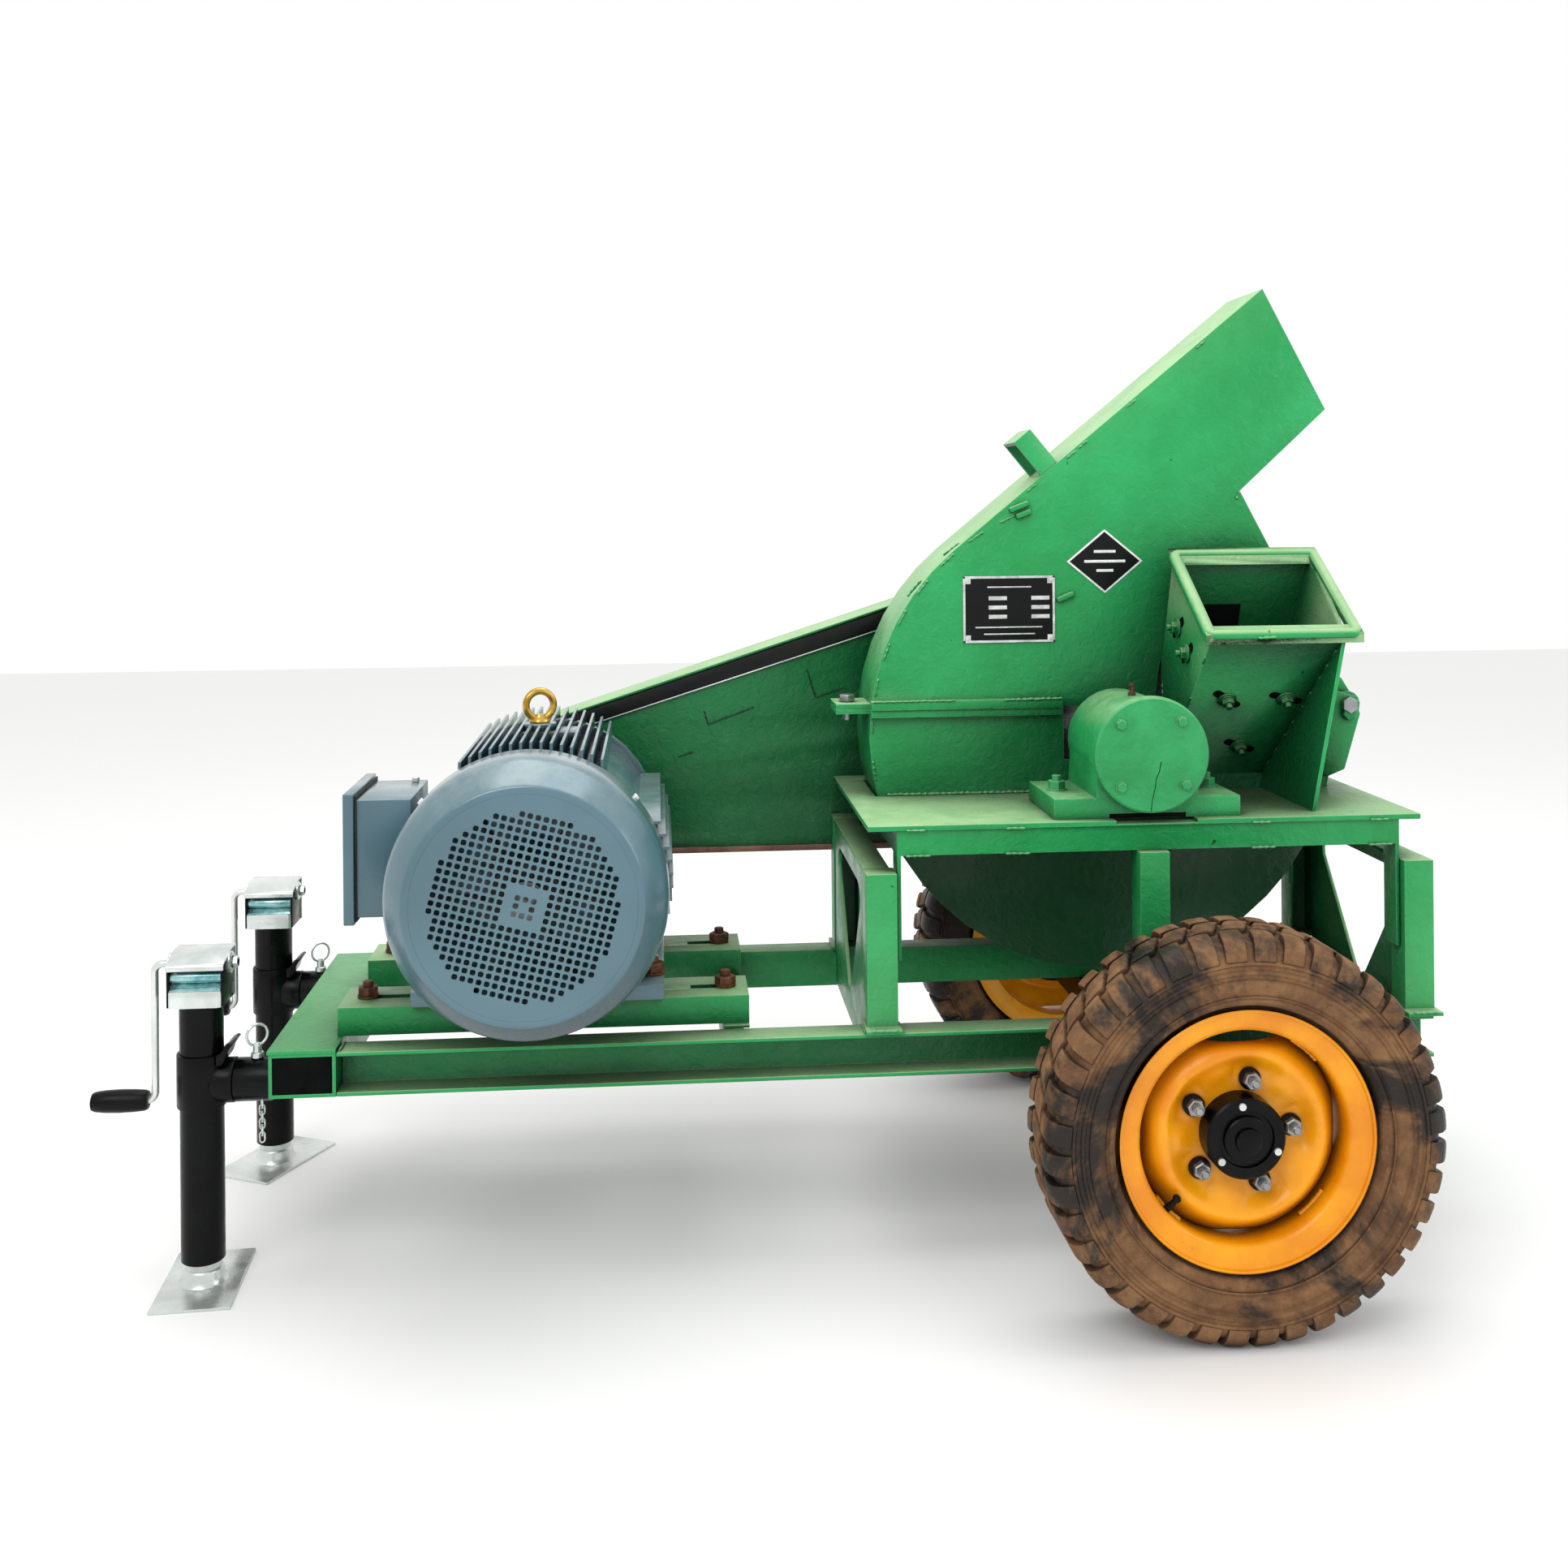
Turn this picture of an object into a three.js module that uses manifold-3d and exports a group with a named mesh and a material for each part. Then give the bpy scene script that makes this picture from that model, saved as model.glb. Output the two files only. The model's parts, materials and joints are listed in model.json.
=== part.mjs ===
// Towed wood chipper: a disc chipper with a belt-driven rotor, an electric motor,
// two road wheels and two swivelling front jacks, on a channel-steel chassis.
// Millimetres. +Z up, +X towards the chipper end, -Y the side with the feed hopper.
// The origin is on the ground, in the middle of the machine's length and width.

import * as THREE from 'three';
import { mergeVertices } from 'three/addons/utils/BufferGeometryUtils.js';
import { ConvexGeometry } from 'three/addons/geometries/ConvexGeometry.js';
import Module from 'manifold-3d';

const wasm = await Module();
wasm.setup();

// ---------------------------------------------------------------- driving sizes

const GAP = 0.3; // clearance left between touching pieces
const SHEET = 6; // plate of the chipper housing

// road wheels
const WHEEL_X = 577;
const TYRE_R = 267;
const TYRE_W = 140;
const TRACK_HALF = 480;
const RIM_FLANGE_R = 170;
const RIM_BARREL_R = 152;
const LUG_COUNT = 5;
const LUG_PCD_R = 70;
const LUG_PHASE = 0.09;
const HUB_R = 46;

// chassis: two channels with their flanges outwards
const BEAM_X0 = -632;
const BEAM_X1 = 966;
const BEAM_WEB_Y = 203;
const BEAM_TIP_Y = 250;
const BEAM_Z0 = 267;
const BEAM_Z1 = 329;
const BEAM_WALL = 6;
const CROSS_X0 = -725;
const CROSS_X1 = -632;
const CAP_TOP_Z = 334;

// chipper stand and table
const POST = 45;
const POST_Y = 216;
const POST_TOP_Z = 556;
const STAND_X0 = 122;
const STAND_X1 = 973;
const TABLE_X0 = 126;
const TABLE_X1 = 958;
const TABLE_Y0 = -230;
const TABLE_Y1 = 224;
const TABLE_TOP = 624;
const TABLE_THICK = 8;
const APRON_X0 = 169;
const APRON_X1 = 927;
const APRON_Z0 = 579;

// rotor and its housing
const ROTOR_X = 547;
const ROTOR_Z = 721;
const DRUM_R = 385;
const DRUM_Y0 = 18;
const DRUM_Y1 = 180;
const SPLIT_Z = 763;
const DISC_R = 330;
const SHAFT_R = 30;

// discharge chute: a tangent from the drum, 39.4 degrees above level
const CHUTE_TILT = THREE.MathUtils.degToRad(39.4);
const CHUTE_TIP = [818, 1442];
const CHUTE_LIP = [922, 1244];
const CHUTE_HEEL = [777, 1111];
const CHUTE_ROOT_ANGLE = 27.5;

// cover hinge and clamp
const HINGE_X = 955;
const HINGE_Z = 758;
const HINGE_R = 22;
const CLAMP_X = 132;
const CLAMP_Y = 70;

// feed hopper
const MOUTH_X0 = 644;
const MOUTH_X1 = 872;
const MOUTH_NEAR = [-215, 891];
const MOUTH_FAR = [-45, 1010];
const THROAT_Z0 = 656;
const THROAT_Z1 = 830;
const THROAT_X1 = 812;

// motor
const MOTOR_X = -353;
const MOTOR_Z = 571;
const MOTOR_R = 168;
const FIN_R = 196;
const COWL_R = 190;
const COWL_FACE_R = 152;
const COWL_Y0 = -440;
const COWL_Y1 = -322;
const MOTOR_SHAFT_R = 27;
const RAIL_X0 = -640;
const RAIL_X1 = -47;
const RAIL_TOP = 375;
const RAIL_WIDTH = 100;
const RAIL_YS = { near: -145, far: 100 };

// belt drive
const MOTOR_PULLEY_R = 60;
const MAIN_PULLEY_R = 180;
const PULLEY_Y0 = 252;
const PULLEY_Y1 = 324;
const GROOVES = 3;
const GUARD_Y0 = 240;
const GUARD_Y1 = 344;

// jacks
const JACK_X = -825;
const JACK_Y = 215;
const JACK_R = 30;
const JACK_TUBE_Z0 = 34;
const JACK_TUBE_Z1 = 396;
const JACK_PIVOT_Z = 285;
const PIPE_END_X = -776;
const PIN_X = -748;
const JACK_HEAD_TOP = 470;
const HEAD_HALF_X = 40;
const HEAD_HALF_Y = 36;
const CRANK_Z = 452;
const CRANK_ROD_X = -889;
const CRANK_DROP = 192;
const GRIP_R = 16;
const GRIP_X0 = -977;
const GRIP_X1 = -897;

// ---------------------------------------------------------------- materials

function finish(name, color, roughness, metalness) {
  const m = new THREE.MeshStandardMaterial({ color, roughness, metalness, flatShading: true });
  m.name = name;
  return m;
}

const GREEN = finish('green_paint', 0x3da566, 0.45, 0.1);
const BLUE_GREY = finish('motor_paint', 0x6c8c9c, 0.4, 0.2);
const ORANGE = finish('rim_paint', 0xf39a10, 0.3, 0.1);
const RUBBER = finish('tyre_rubber', 0x5c4434, 0.9, 0);
const BLACK = finish('black_paint', 0x111316, 0.3, 0.2);
const GRIP = finish('grip_plastic', 0x0c0c0d, 0.4, 0);
const ZINC = finish('zinc_plate', 0xc8cccb, 0.3, 0.9);
const STEEL = finish('bare_steel', 0x8d9091, 0.4, 0.9);
const CAST = finish('cast_iron', 0x5a5c5e, 0.6, 0.6);
const BRASS = finish('yellow_zinc', 0xb08a3c, 0.35, 0.9);
const BELT = finish('belt_rubber', 0x18181a, 0.8, 0);
const PLASTIC = finish('fan_plastic', 0x202326, 0.6, 0);

// ---------------------------------------------------------------- solids

// A closed geometry as a manifold-3d solid, ready to be joined or cut.
function solid(geometry) {
  const bare = geometry.index ? geometry.toNonIndexed() : geometry.clone();
  bare.deleteAttribute('normal');
  bare.deleteAttribute('uv');
  const g = mergeVertices(bare, 1e-3);
  const kept = [];
  for (let i = 0; i < g.index.count; i += 3) {
    const [a, b, c] = [g.index.getX(i), g.index.getX(i + 1), g.index.getX(i + 2)];
    if (a !== b && b !== c && c !== a) kept.push(a, b, c);
  }
  const mesh = new wasm.Mesh({
    numProp: 3,
    vertProperties: new Float32Array(g.attributes.position.array),
    triVerts: new Uint32Array(kept),
  });
  return new wasm.Manifold(mesh);
}

const join = (...parts) => parts.reduce((a, b) => a.add(b));
const cut = (body, ...tools) => tools.reduce((a, b) => a.subtract(b), body);

const group = new THREE.Group();

// Adds one named mesh made from a solid.
function part(name, body, material) {
  const m = body.getMesh();
  const flat = new Float32Array(m.numVert * 3);
  for (let i = 0; i < m.numVert; i++) {
    flat.set(m.vertProperties.subarray(i * m.numProp, i * m.numProp + 3), i * 3);
  }
  const g = new THREE.BufferGeometry();
  g.setAttribute('position', new THREE.BufferAttribute(flat, 3));
  g.setIndex(new THREE.BufferAttribute(new Uint32Array(m.triVerts), 1));
  g.computeVertexNormals();
  const mesh = new THREE.Mesh(g, material);
  mesh.name = name;
  group.add(mesh);
}

function box(x0, x1, y0, y1, z0, z1) {
  const g = new THREE.BoxGeometry(x1 - x0, y1 - y0, z1 - z0);
  return solid(g.translate((x0 + x1) / 2, (y0 + y1) / 2, (z0 + z1) / 2));
}

// Round bars along each axis.
function rodY(r, x, z, y0, y1, segments = 20) {
  const g = new THREE.CylinderGeometry(r, r, y1 - y0, segments);
  return solid(g.translate(x, (y0 + y1) / 2, z));
}

function rodX(r, y, z, x0, x1, segments = 16) {
  const g = new THREE.CylinderGeometry(r, r, x1 - x0, segments);
  return solid(g.rotateZ(Math.PI / 2).translate((x0 + x1) / 2, y, z));
}

function rodZ(r, x, y, z0, z1, segments = 16) {
  const g = new THREE.CylinderGeometry(r, r, z1 - z0, segments);
  return solid(g.rotateX(Math.PI / 2).translate(x, y, (z0 + z1) / 2));
}

// A flat plate with an outline of [x, z] points, between two y values.
function plateY(points, y0, y1) {
  const outline = new THREE.Shape(points.map(([x, z]) => new THREE.Vector2(x, z)));
  const g = new THREE.ExtrudeGeometry(outline, { depth: y1 - y0, bevelEnabled: false });
  return solid(g.rotateX(Math.PI / 2).translate(0, y1, 0));
}

// A flat plate with an outline of [y, z] points, between two x values.
function plateX(points, x0, x1) {
  const outline = new THREE.Shape(points.map(([y, z]) => new THREE.Vector2(y, z)));
  const g = new THREE.ExtrudeGeometry(outline, { depth: x1 - x0, bevelEnabled: false });
  const turn = new THREE.Matrix4().makeBasis(
    new THREE.Vector3(0, 1, 0),
    new THREE.Vector3(0, 0, 1),
    new THREE.Vector3(1, 0, 0),
  );
  return solid(g.applyMatrix4(turn).translate(x0, 0, 0));
}

// A turned body about an axis along Y; the profile is [radius, y] points, in either order.
function turnedY(profile, x, z, segments = 32) {
  const points = profile.map(([r, y]) => new THREE.Vector2(r, y));
  if (THREE.ShapeUtils.area(points) < 0) points.reverse();
  return solid(new THREE.LatheGeometry(points, segments).translate(x, 0, z));
}

// The smallest convex body around a list of [x, y, z] corners.
function wedge(corners) {
  return solid(new ConvexGeometry(corners.map((c) => new THREE.Vector3(...c))));
}

// Points on an arc, in degrees, both ends included.
function arc(cx, cy, r, from, to, step = 7.5) {
  const n = Math.max(2, Math.round(Math.abs(to - from) / step));
  return Array.from({ length: n + 1 }, (_, i) => {
    const a = THREE.MathUtils.degToRad(from + ((to - from) * i) / n);
    return [cx + r * Math.cos(a), cy + r * Math.sin(a)];
  });
}

// An anticlockwise outline moved inwards by a wall's thickness.
function inset(points, wall) {
  const n = points.length;
  const inward = (p, q) => {
    const length = Math.hypot(q[0] - p[0], q[1] - p[1]);
    return [-(q[1] - p[1]) / length, (q[0] - p[0]) / length];
  };
  return points.map((p, i) => {
    const a = inward(points[(i + n - 1) % n], p);
    const b = inward(p, points[(i + 1) % n]);
    const scale = wall / (1 + a[0] * b[0] + a[1] * b[1]);
    return [p[0] + (a[0] + b[0]) * scale, p[1] + (a[1] + b[1]) * scale];
  });
}

// A hexagon nut with a stud end, standing on a level face.
function studAndNut(x, y, z, r = 9) {
  return join(
    rodZ(r * 1.7, x, y, z, z + r * 0.35, 10),
    rodZ(r * 1.5, x, y, z, z + r * 1.7, 6),
    rodZ(r * 0.8, x, y, z, z + r * 2.6, 8),
  );
}

// ---------------------------------------------------------------- chassis

function channelBeam(side) {
  const ys = [side * BEAM_WEB_Y, side * BEAM_TIP_Y].sort((a, b) => a - b);
  const web = [side * BEAM_WEB_Y, side * (BEAM_WEB_Y + BEAM_WALL)].sort((a, b) => a - b);
  return join(
    box(BEAM_X0 + GAP, BEAM_X1, web[0], web[1], BEAM_Z0, BEAM_Z1),
    box(BEAM_X0 + GAP, BEAM_X1, ys[0], ys[1], BEAM_Z0, BEAM_Z0 + BEAM_WALL),
    box(BEAM_X0 + GAP, BEAM_X1, ys[0], ys[1], BEAM_Z1 - BEAM_WALL, BEAM_Z1),
  );
}

// Box tube across the front, its ends open, with the jack pipes welded to it.
function frontCrossBeam() {
  const wall = 5;
  const tube = cut(
    box(CROSS_X0, CROSS_X1, -BEAM_TIP_Y, BEAM_TIP_Y, BEAM_Z0, BEAM_Z1),
    box(CROSS_X0 + wall, CROSS_X1 - wall, -300, 300, BEAM_Z0 + wall, BEAM_Z1 - wall),
  );
  const cap = box(CROSS_X0 - 2, CROSS_X1, -BEAM_TIP_Y - 2, BEAM_TIP_Y + 2, BEAM_Z1, CAP_TOP_Z);
  const pipes = [-1, 1].map((side) =>
    cut(
      rodX(29, side * JACK_Y, JACK_PIVOT_Z, PIPE_END_X, CROSS_X0 + 1),
      rodX(25.2, side * JACK_Y, JACK_PIVOT_Z, PIPE_END_X - 4, CROSS_X0 - 2),
      rodZ(6.4, PIN_X, side * JACK_Y, JACK_PIVOT_Z, JACK_PIVOT_Z + 40, 12),
    ),
  );
  return join(tube, cap, ...pipes);
}

function crossBeam(x0, x1, z0, z1) {
  const y = BEAM_WEB_Y - GAP;
  return cut(box(x0, x1, -y, y, z0, z1), box(x0 + 5, x1 + 1, -300, 300, z0 + 5, z1 - 5));
}

// Slotted channel that carries two feet of the motor, on packers at both ends.
function motorRail(y) {
  const half = RAIL_WIDTH / 2;
  const z0 = CAP_TOP_Z + GAP;
  const slot = (x) => box(x - 32, x + 32, y - 9, y + 9, RAIL_TOP - 10, RAIL_TOP + 5);
  const rail = cut(
    box(RAIL_X0, RAIL_X1, y - half, y + half, z0, RAIL_TOP),
    box(RAIL_X0 - 1, RAIL_X1 + 1, y - half + 6, y + half - 6, z0 - 1, RAIL_TOP - 7),
    slot(-560),
    slot(-100),
  );
  const bolts = [RAIL_X0 + 35, RAIL_X1 - 33].map((x) =>
    join(rodZ(8, x, y, z0, RAIL_TOP, 12), studAndNut(x, y, RAIL_TOP - 1)),
  );
  return join(rail, ...bolts);
}

// Square axle under the beams, with a round spindle at each end.
function axle() {
  const bar = box(WHEEL_X - 27, WHEEL_X + 27, -385, 385, 216, BEAM_Z0 - GAP);
  const ends = [-1, 1].map((side) => {
    const ys = [side * 370, side * 385].sort((a, b) => a - b);
    const spindle = [side * 385, side * 532].sort((a, b) => a - b);
    return join(
      box(WHEEL_X - 38, WHEEL_X + 38, ys[0], ys[1], 216, 305),
      rodY(19, WHEEL_X, TYRE_R, spindle[0], spindle[1]),
    );
  });
  return join(bar, ...ends);
}

part('beam_near', channelBeam(-1), GREEN);
part('beam_far', channelBeam(1), GREEN);
part('front_cross_beam', frontCrossBeam(), GREEN);
part('mid_cross_beam', crossBeam(-85, -47, BEAM_Z0 + 5, CAP_TOP_Z), GREEN);
part('rear_cross_beam', crossBeam(905, 950, BEAM_Z0, BEAM_Z1), GREEN);
part('motor_rail_near', motorRail(RAIL_YS.near), GREEN);
part('motor_rail_far', motorRail(RAIL_YS.far), GREEN);
part('axle', axle(), BLACK);

// ---------------------------------------------------------------- stand and table

// Channel post, open towards the middle of the machine, with a capped top.
function post(x0, side, top) {
  const y = side * POST_Y;
  const wall = 4;
  const inside = [y + side * (POST / 2 - wall), y - side * POST].sort((a, b) => a - b);
  return cut(
    box(x0, x0 + POST, y - POST / 2, y + POST / 2, BEAM_Z1 + GAP, top),
    box(x0 + wall, x0 + POST - wall, inside[0], inside[1], BEAM_Z1 - 1, top - wall),
  );
}

function footPlate(x, side) {
  const ys = [side * (BEAM_WEB_Y - 8), side * (BEAM_TIP_Y + 8)].sort((a, b) => a - b);
  return box(x - 4, x + POST + 4, ys[0], ys[1], BEAM_Z1 + GAP, BEAM_Z1 + 6);
}

// Plate between the two posts of one end, with a round-cornered triangular opening.
function endPlate(x0, x1, railX0) {
  const y = POST_Y - POST / 2 - GAP;
  const plate = box(x0, x1, -y, y, BEAM_Z0 + 8, POST_TOP_Z);
  const corner = 26;
  const opening = [
    ...arc(-y + 75, POST_TOP_Z - 62, corner, 90, 200, 22),
    ...arc(0, BEAM_Z0 + 78, corner, 210, 330, 24),
    ...arc(y - 75, POST_TOP_Z - 62, corner, -20, 90, 22),
  ];
  const rail = box(railX0, railX0 + 40, -y, y, POST_TOP_Z - 6, POST_TOP_Z);
  return cut(join(plate, rail), plateX(opening, x0 - 60, x0 + 60));
}

// Table plate on an angle frame, cut out for the drum to hang through.
function table() {
  const plate = box(TABLE_X0, TABLE_X1, TABLE_Y0, TABLE_Y1, TABLE_TOP - TABLE_THICK, TABLE_TOP);
  const apron = (y0, y1) => box(APRON_X0, APRON_X1, y0, y1, APRON_Z0, TABLE_TOP - 2);
  const legs = [APRON_X0, APRON_X1 - 6].flatMap((x) => [
    box(x, x + 6, TABLE_Y0 + 5, TABLE_Y0 + 45, POST_TOP_Z - 130, TABLE_TOP - 2),
    box(x, x + 6, TABLE_Y1 - 45, TABLE_Y1 - 5, POST_TOP_Z - 130, TABLE_TOP - 2),
  ]);
  const ends = [APRON_X0, APRON_X1 - 6].map((x) =>
    box(x, x + 6, TABLE_Y0 + 5, TABLE_Y1 - 5, APRON_Z0, TABLE_TOP - 2),
  );
  const half = Math.sqrt(DRUM_R ** 2 - (ROTOR_Z - TABLE_TOP) ** 2) + 3;
  const drumHole = box(
    ROTOR_X - half, ROTOR_X + half, DRUM_Y0 - 2, DRUM_Y1 + 2, APRON_Z0 - 200, TABLE_TOP + 1,
  );
  const slot = box(ROTOR_X - 52, ROTOR_X + 70, TABLE_Y0 - 1, TABLE_Y0 + 40, TABLE_TOP - 5, TABLE_TOP + 1);
  const frame = join(
    plate, apron(TABLE_Y0 + 5, TABLE_Y0 + 11), apron(TABLE_Y1 - 11, TABLE_Y1 - 5), ...ends, ...legs,
  );
  return cut(frame, drumHole, slot);
}

for (const [label, side] of [['near', -1], ['far', 1]]) {
  for (const [end, x] of [['left', STAND_X0], ['right', STAND_X1 - POST]]) {
    part(`post_${label}_${end}`, join(post(x, side, POST_TOP_Z), footPlate(x, side)), GREEN);
  }
  part(`mid_post_${label}`, post(527, side, APRON_Z0 - GAP), GREEN);
}
part('end_plate_left', endPlate(STAND_X0 + 2, STAND_X0 + 8, STAND_X0), GREEN);
part('end_plate_right', endPlate(STAND_X1 - 9, STAND_X1 - 3, STAND_X1 - 40), GREEN);
part('table', table(), GREEN);

// ---------------------------------------------------------------- housing

const splitAngle = THREE.MathUtils.radToDeg(Math.asin((SPLIT_Z - ROTOR_Z) / DRUM_R));
const tangentAngle = 90 + THREE.MathUtils.radToDeg(CHUTE_TILT);

function drumArc(from, to) {
  return arc(ROTOR_X, ROTOR_Z, DRUM_R, from, to);
}

const coverFront = drumArc(splitAngle + 0.05, CHUTE_ROOT_ANGLE);
const coverOutline = [
  ...coverFront,
  CHUTE_HEEL,
  CHUTE_LIP,
  CHUTE_TIP,
  ...drumArc(tangentAngle, 180 - splitAngle - 0.05),
];

const drumOutline = drumArc(180 - splitAngle + 0.05, 360 + splitAngle - 0.05);

// Square gap round the shaft, open towards the split line.
function shaftNotch(y0, y1) {
  return box(ROTOR_X - 67, ROTOR_X + 68, y0, y1, ROTOR_Z - 45, SPLIT_Z + 1);
}

// Lower half of the drum, with the throat panel, hinge lugs and a clamp ear.
function lowerHousing() {
  const shell = cut(
    plateY(drumOutline, DRUM_Y0, DRUM_Y1),
    plateY(inset(drumOutline, SHEET), DRUM_Y0 + SHEET, DRUM_Y1 - SHEET),
    box(ROTOR_X - 372, ROTOR_X + 372, DRUM_Y0 + SHEET, DRUM_Y1 - SHEET, SPLIT_Z - 80, SPLIT_Z + 5),
    shaftNotch(0, 40),
    shaftNotch(160, 200),
  );
  const throatPanel = box(
    MOUTH_X0, THROAT_X1 + 8, DRUM_Y0, DRUM_Y0 + SHEET, SPLIT_Z - 30, THROAT_Z1 + 6,
  );
  const throat = box(MOUTH_X0 + 8, THROAT_X1 - 6, 0, 60, THROAT_Z0 + 12, THROAT_Z1 - 8);
  const edgeBar = box(164, 475, 6, DRUM_Y0 + 1, SPLIT_Z - 12, SPLIT_Z - GAP);
  const ear = cut(
    box(110, 172, 32, 118, SPLIT_Z - 8, SPLIT_Z - GAP),
    rodZ(9.5, CLAMP_X, CLAMP_Y, SPLIT_Z - 20, SPLIT_Z + 5),
  );
  const lug = (y0, y1) =>
    plateY(
      [
        [905, 655],
        [934, 655],
        [HINGE_X + 20, HINGE_Z - 12],
        ...arc(HINGE_X, HINGE_Z, HINGE_R, -20, 130, 25),
        [918, SPLIT_Z - 12],
        [905, SPLIT_Z - 40],
      ],
      y0,
      y1,
    );
  const lugs = join(lug(DRUM_Y0, DRUM_Y0 + SHEET), lug(DRUM_Y1 - SHEET, DRUM_Y1));
  const pinHole = rodY(8.5, HINGE_X, HINGE_Z, 0, 200, 16);
  return cut(join(shell, throatPanel, edgeBar, ear, lugs), throat, pinHole);
}

// Upper cover and discharge chute in one welded shell, with its hinge arms.
function upperCover() {
  const inner = inset(coverOutline, SHEET);
  const y0 = DRUM_Y0 + SHEET;
  const y1 = DRUM_Y1 - SHEET;
  const along = [Math.cos(CHUTE_TILT), Math.sin(CHUTE_TILT)];
  const [heel, lip, tip] = inner.slice(coverFront.length, coverFront.length + 3);
  const ahead = (p, d) => [p[0] + along[0] * d, p[1] + along[1] * d];
  const outlet = plateY([heel, ahead(lip, 40), ahead(tip, 40), ahead(tip, -60)], y0, y1);
  const shell = cut(
    plateY(coverOutline, DRUM_Y0, DRUM_Y1),
    plateY(inner, y0, y1),
    outlet,
    box(ROTOR_X - 376, ROTOR_X + 376, y0, y1, SPLIT_Z - 5, SPLIT_Z + 30),
  );
  const sweep = MOUTH_X0 - HINGE_X;
  const rise = THROAT_Z1 + 6 - HINGE_Z;
  const throatSweep = rodY(Math.hypot(sweep, rise) + 2, HINGE_X, HINGE_Z, 0, 40, 96).intersect(
    box(600, THROAT_X1 + 10, 0, DRUM_Y0 + SHEET + 1, 700, THROAT_Z1 + 8),
  );
  const edgeBar = box(164, 475, 2, DRUM_Y0 + 1, SPLIT_Z + GAP, SPLIT_Z + 14);
  const ear = cut(
    box(110, 172, 32, 118, SPLIT_Z + GAP, SPLIT_Z + 8),
    rodZ(8.5, CLAMP_X, CLAMP_Y, SPLIT_Z - 20, SPLIT_Z + 20),
  );
  const arm = (a0, a1) =>
    cut(
      plateY(
        [[900, 780], [937, 765], ...arc(HINGE_X, HINGE_Z, 18, -100, 50, 25), [HINGE_X - 6, 800], [880, 850]],
        a0,
        a1,
      ),
      rodY(8.5, HINGE_X, HINGE_Z, 0, 200, 16),
    );
  const arms = join(
    arm(DRUM_Y0 + SHEET + 1, DRUM_Y0 + SHEET + 13),
    arm(DRUM_Y1 - SHEET - 13, DRUM_Y1 - SHEET - 1),
  );
  return join(cut(shell, throatSweep), edgeBar, ear, liftingHandle(), arms);
}

// Flat-bar portal welded across the top of the cover.
function liftingHandle() {
  const behindTip = 479;
  const along = [Math.cos(CHUTE_TILT), Math.sin(CHUTE_TILT)];
  const out = [-along[1], along[0]];
  const foot = [CHUTE_TIP[0] - along[0] * behindTip, CHUTE_TIP[1] - along[1] * behindTip];
  const at = (a, o) => [foot[0] + along[0] * a + out[0] * o, foot[1] + along[1] * a + out[1] * o];
  const face = [at(0, -3), at(34, -3), at(34, 70), at(0, 70)];
  const window = [at(-5, 0.5), at(40, 0.5), at(40, 64), at(-5, 64)];
  return cut(plateY(face, 22, 106), plateY(window, 28, 100));
}

const hingePin = join(
  rodY(8, HINGE_X, HINGE_Z, 2, 196, 16),
  rodY(14, HINGE_X, HINGE_Z, 2, DRUM_Y0 - GAP, 6),
  rodY(14, HINGE_X, HINGE_Z, DRUM_Y1 + GAP, 196, 6),
);
const clampBolt = join(
  rodZ(8, CLAMP_X, CLAMP_Y, SPLIT_Z - 22, SPLIT_Z + 14, 16),
  rodZ(14, CLAMP_X, CLAMP_Y, SPLIT_Z + 8 + GAP, SPLIT_Z + 20, 6),
);

part('lower_housing', lowerHousing(), GREEN);
part('upper_cover', upperCover(), GREEN);
part('hinge_pin', hingePin, STEEL);
part('clamp_bolt', clampBolt, STEEL);

// ---------------------------------------------------------------- hopper

// The right-hand plate leans inwards as it goes down to the table.
function rightPlateX(z) {
  const t = (z - TABLE_TOP) / (MOUTH_FAR[1] - TABLE_TOP);
  return THROAT_X1 + t * (MOUTH_X1 - THROAT_X1);
}

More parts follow.
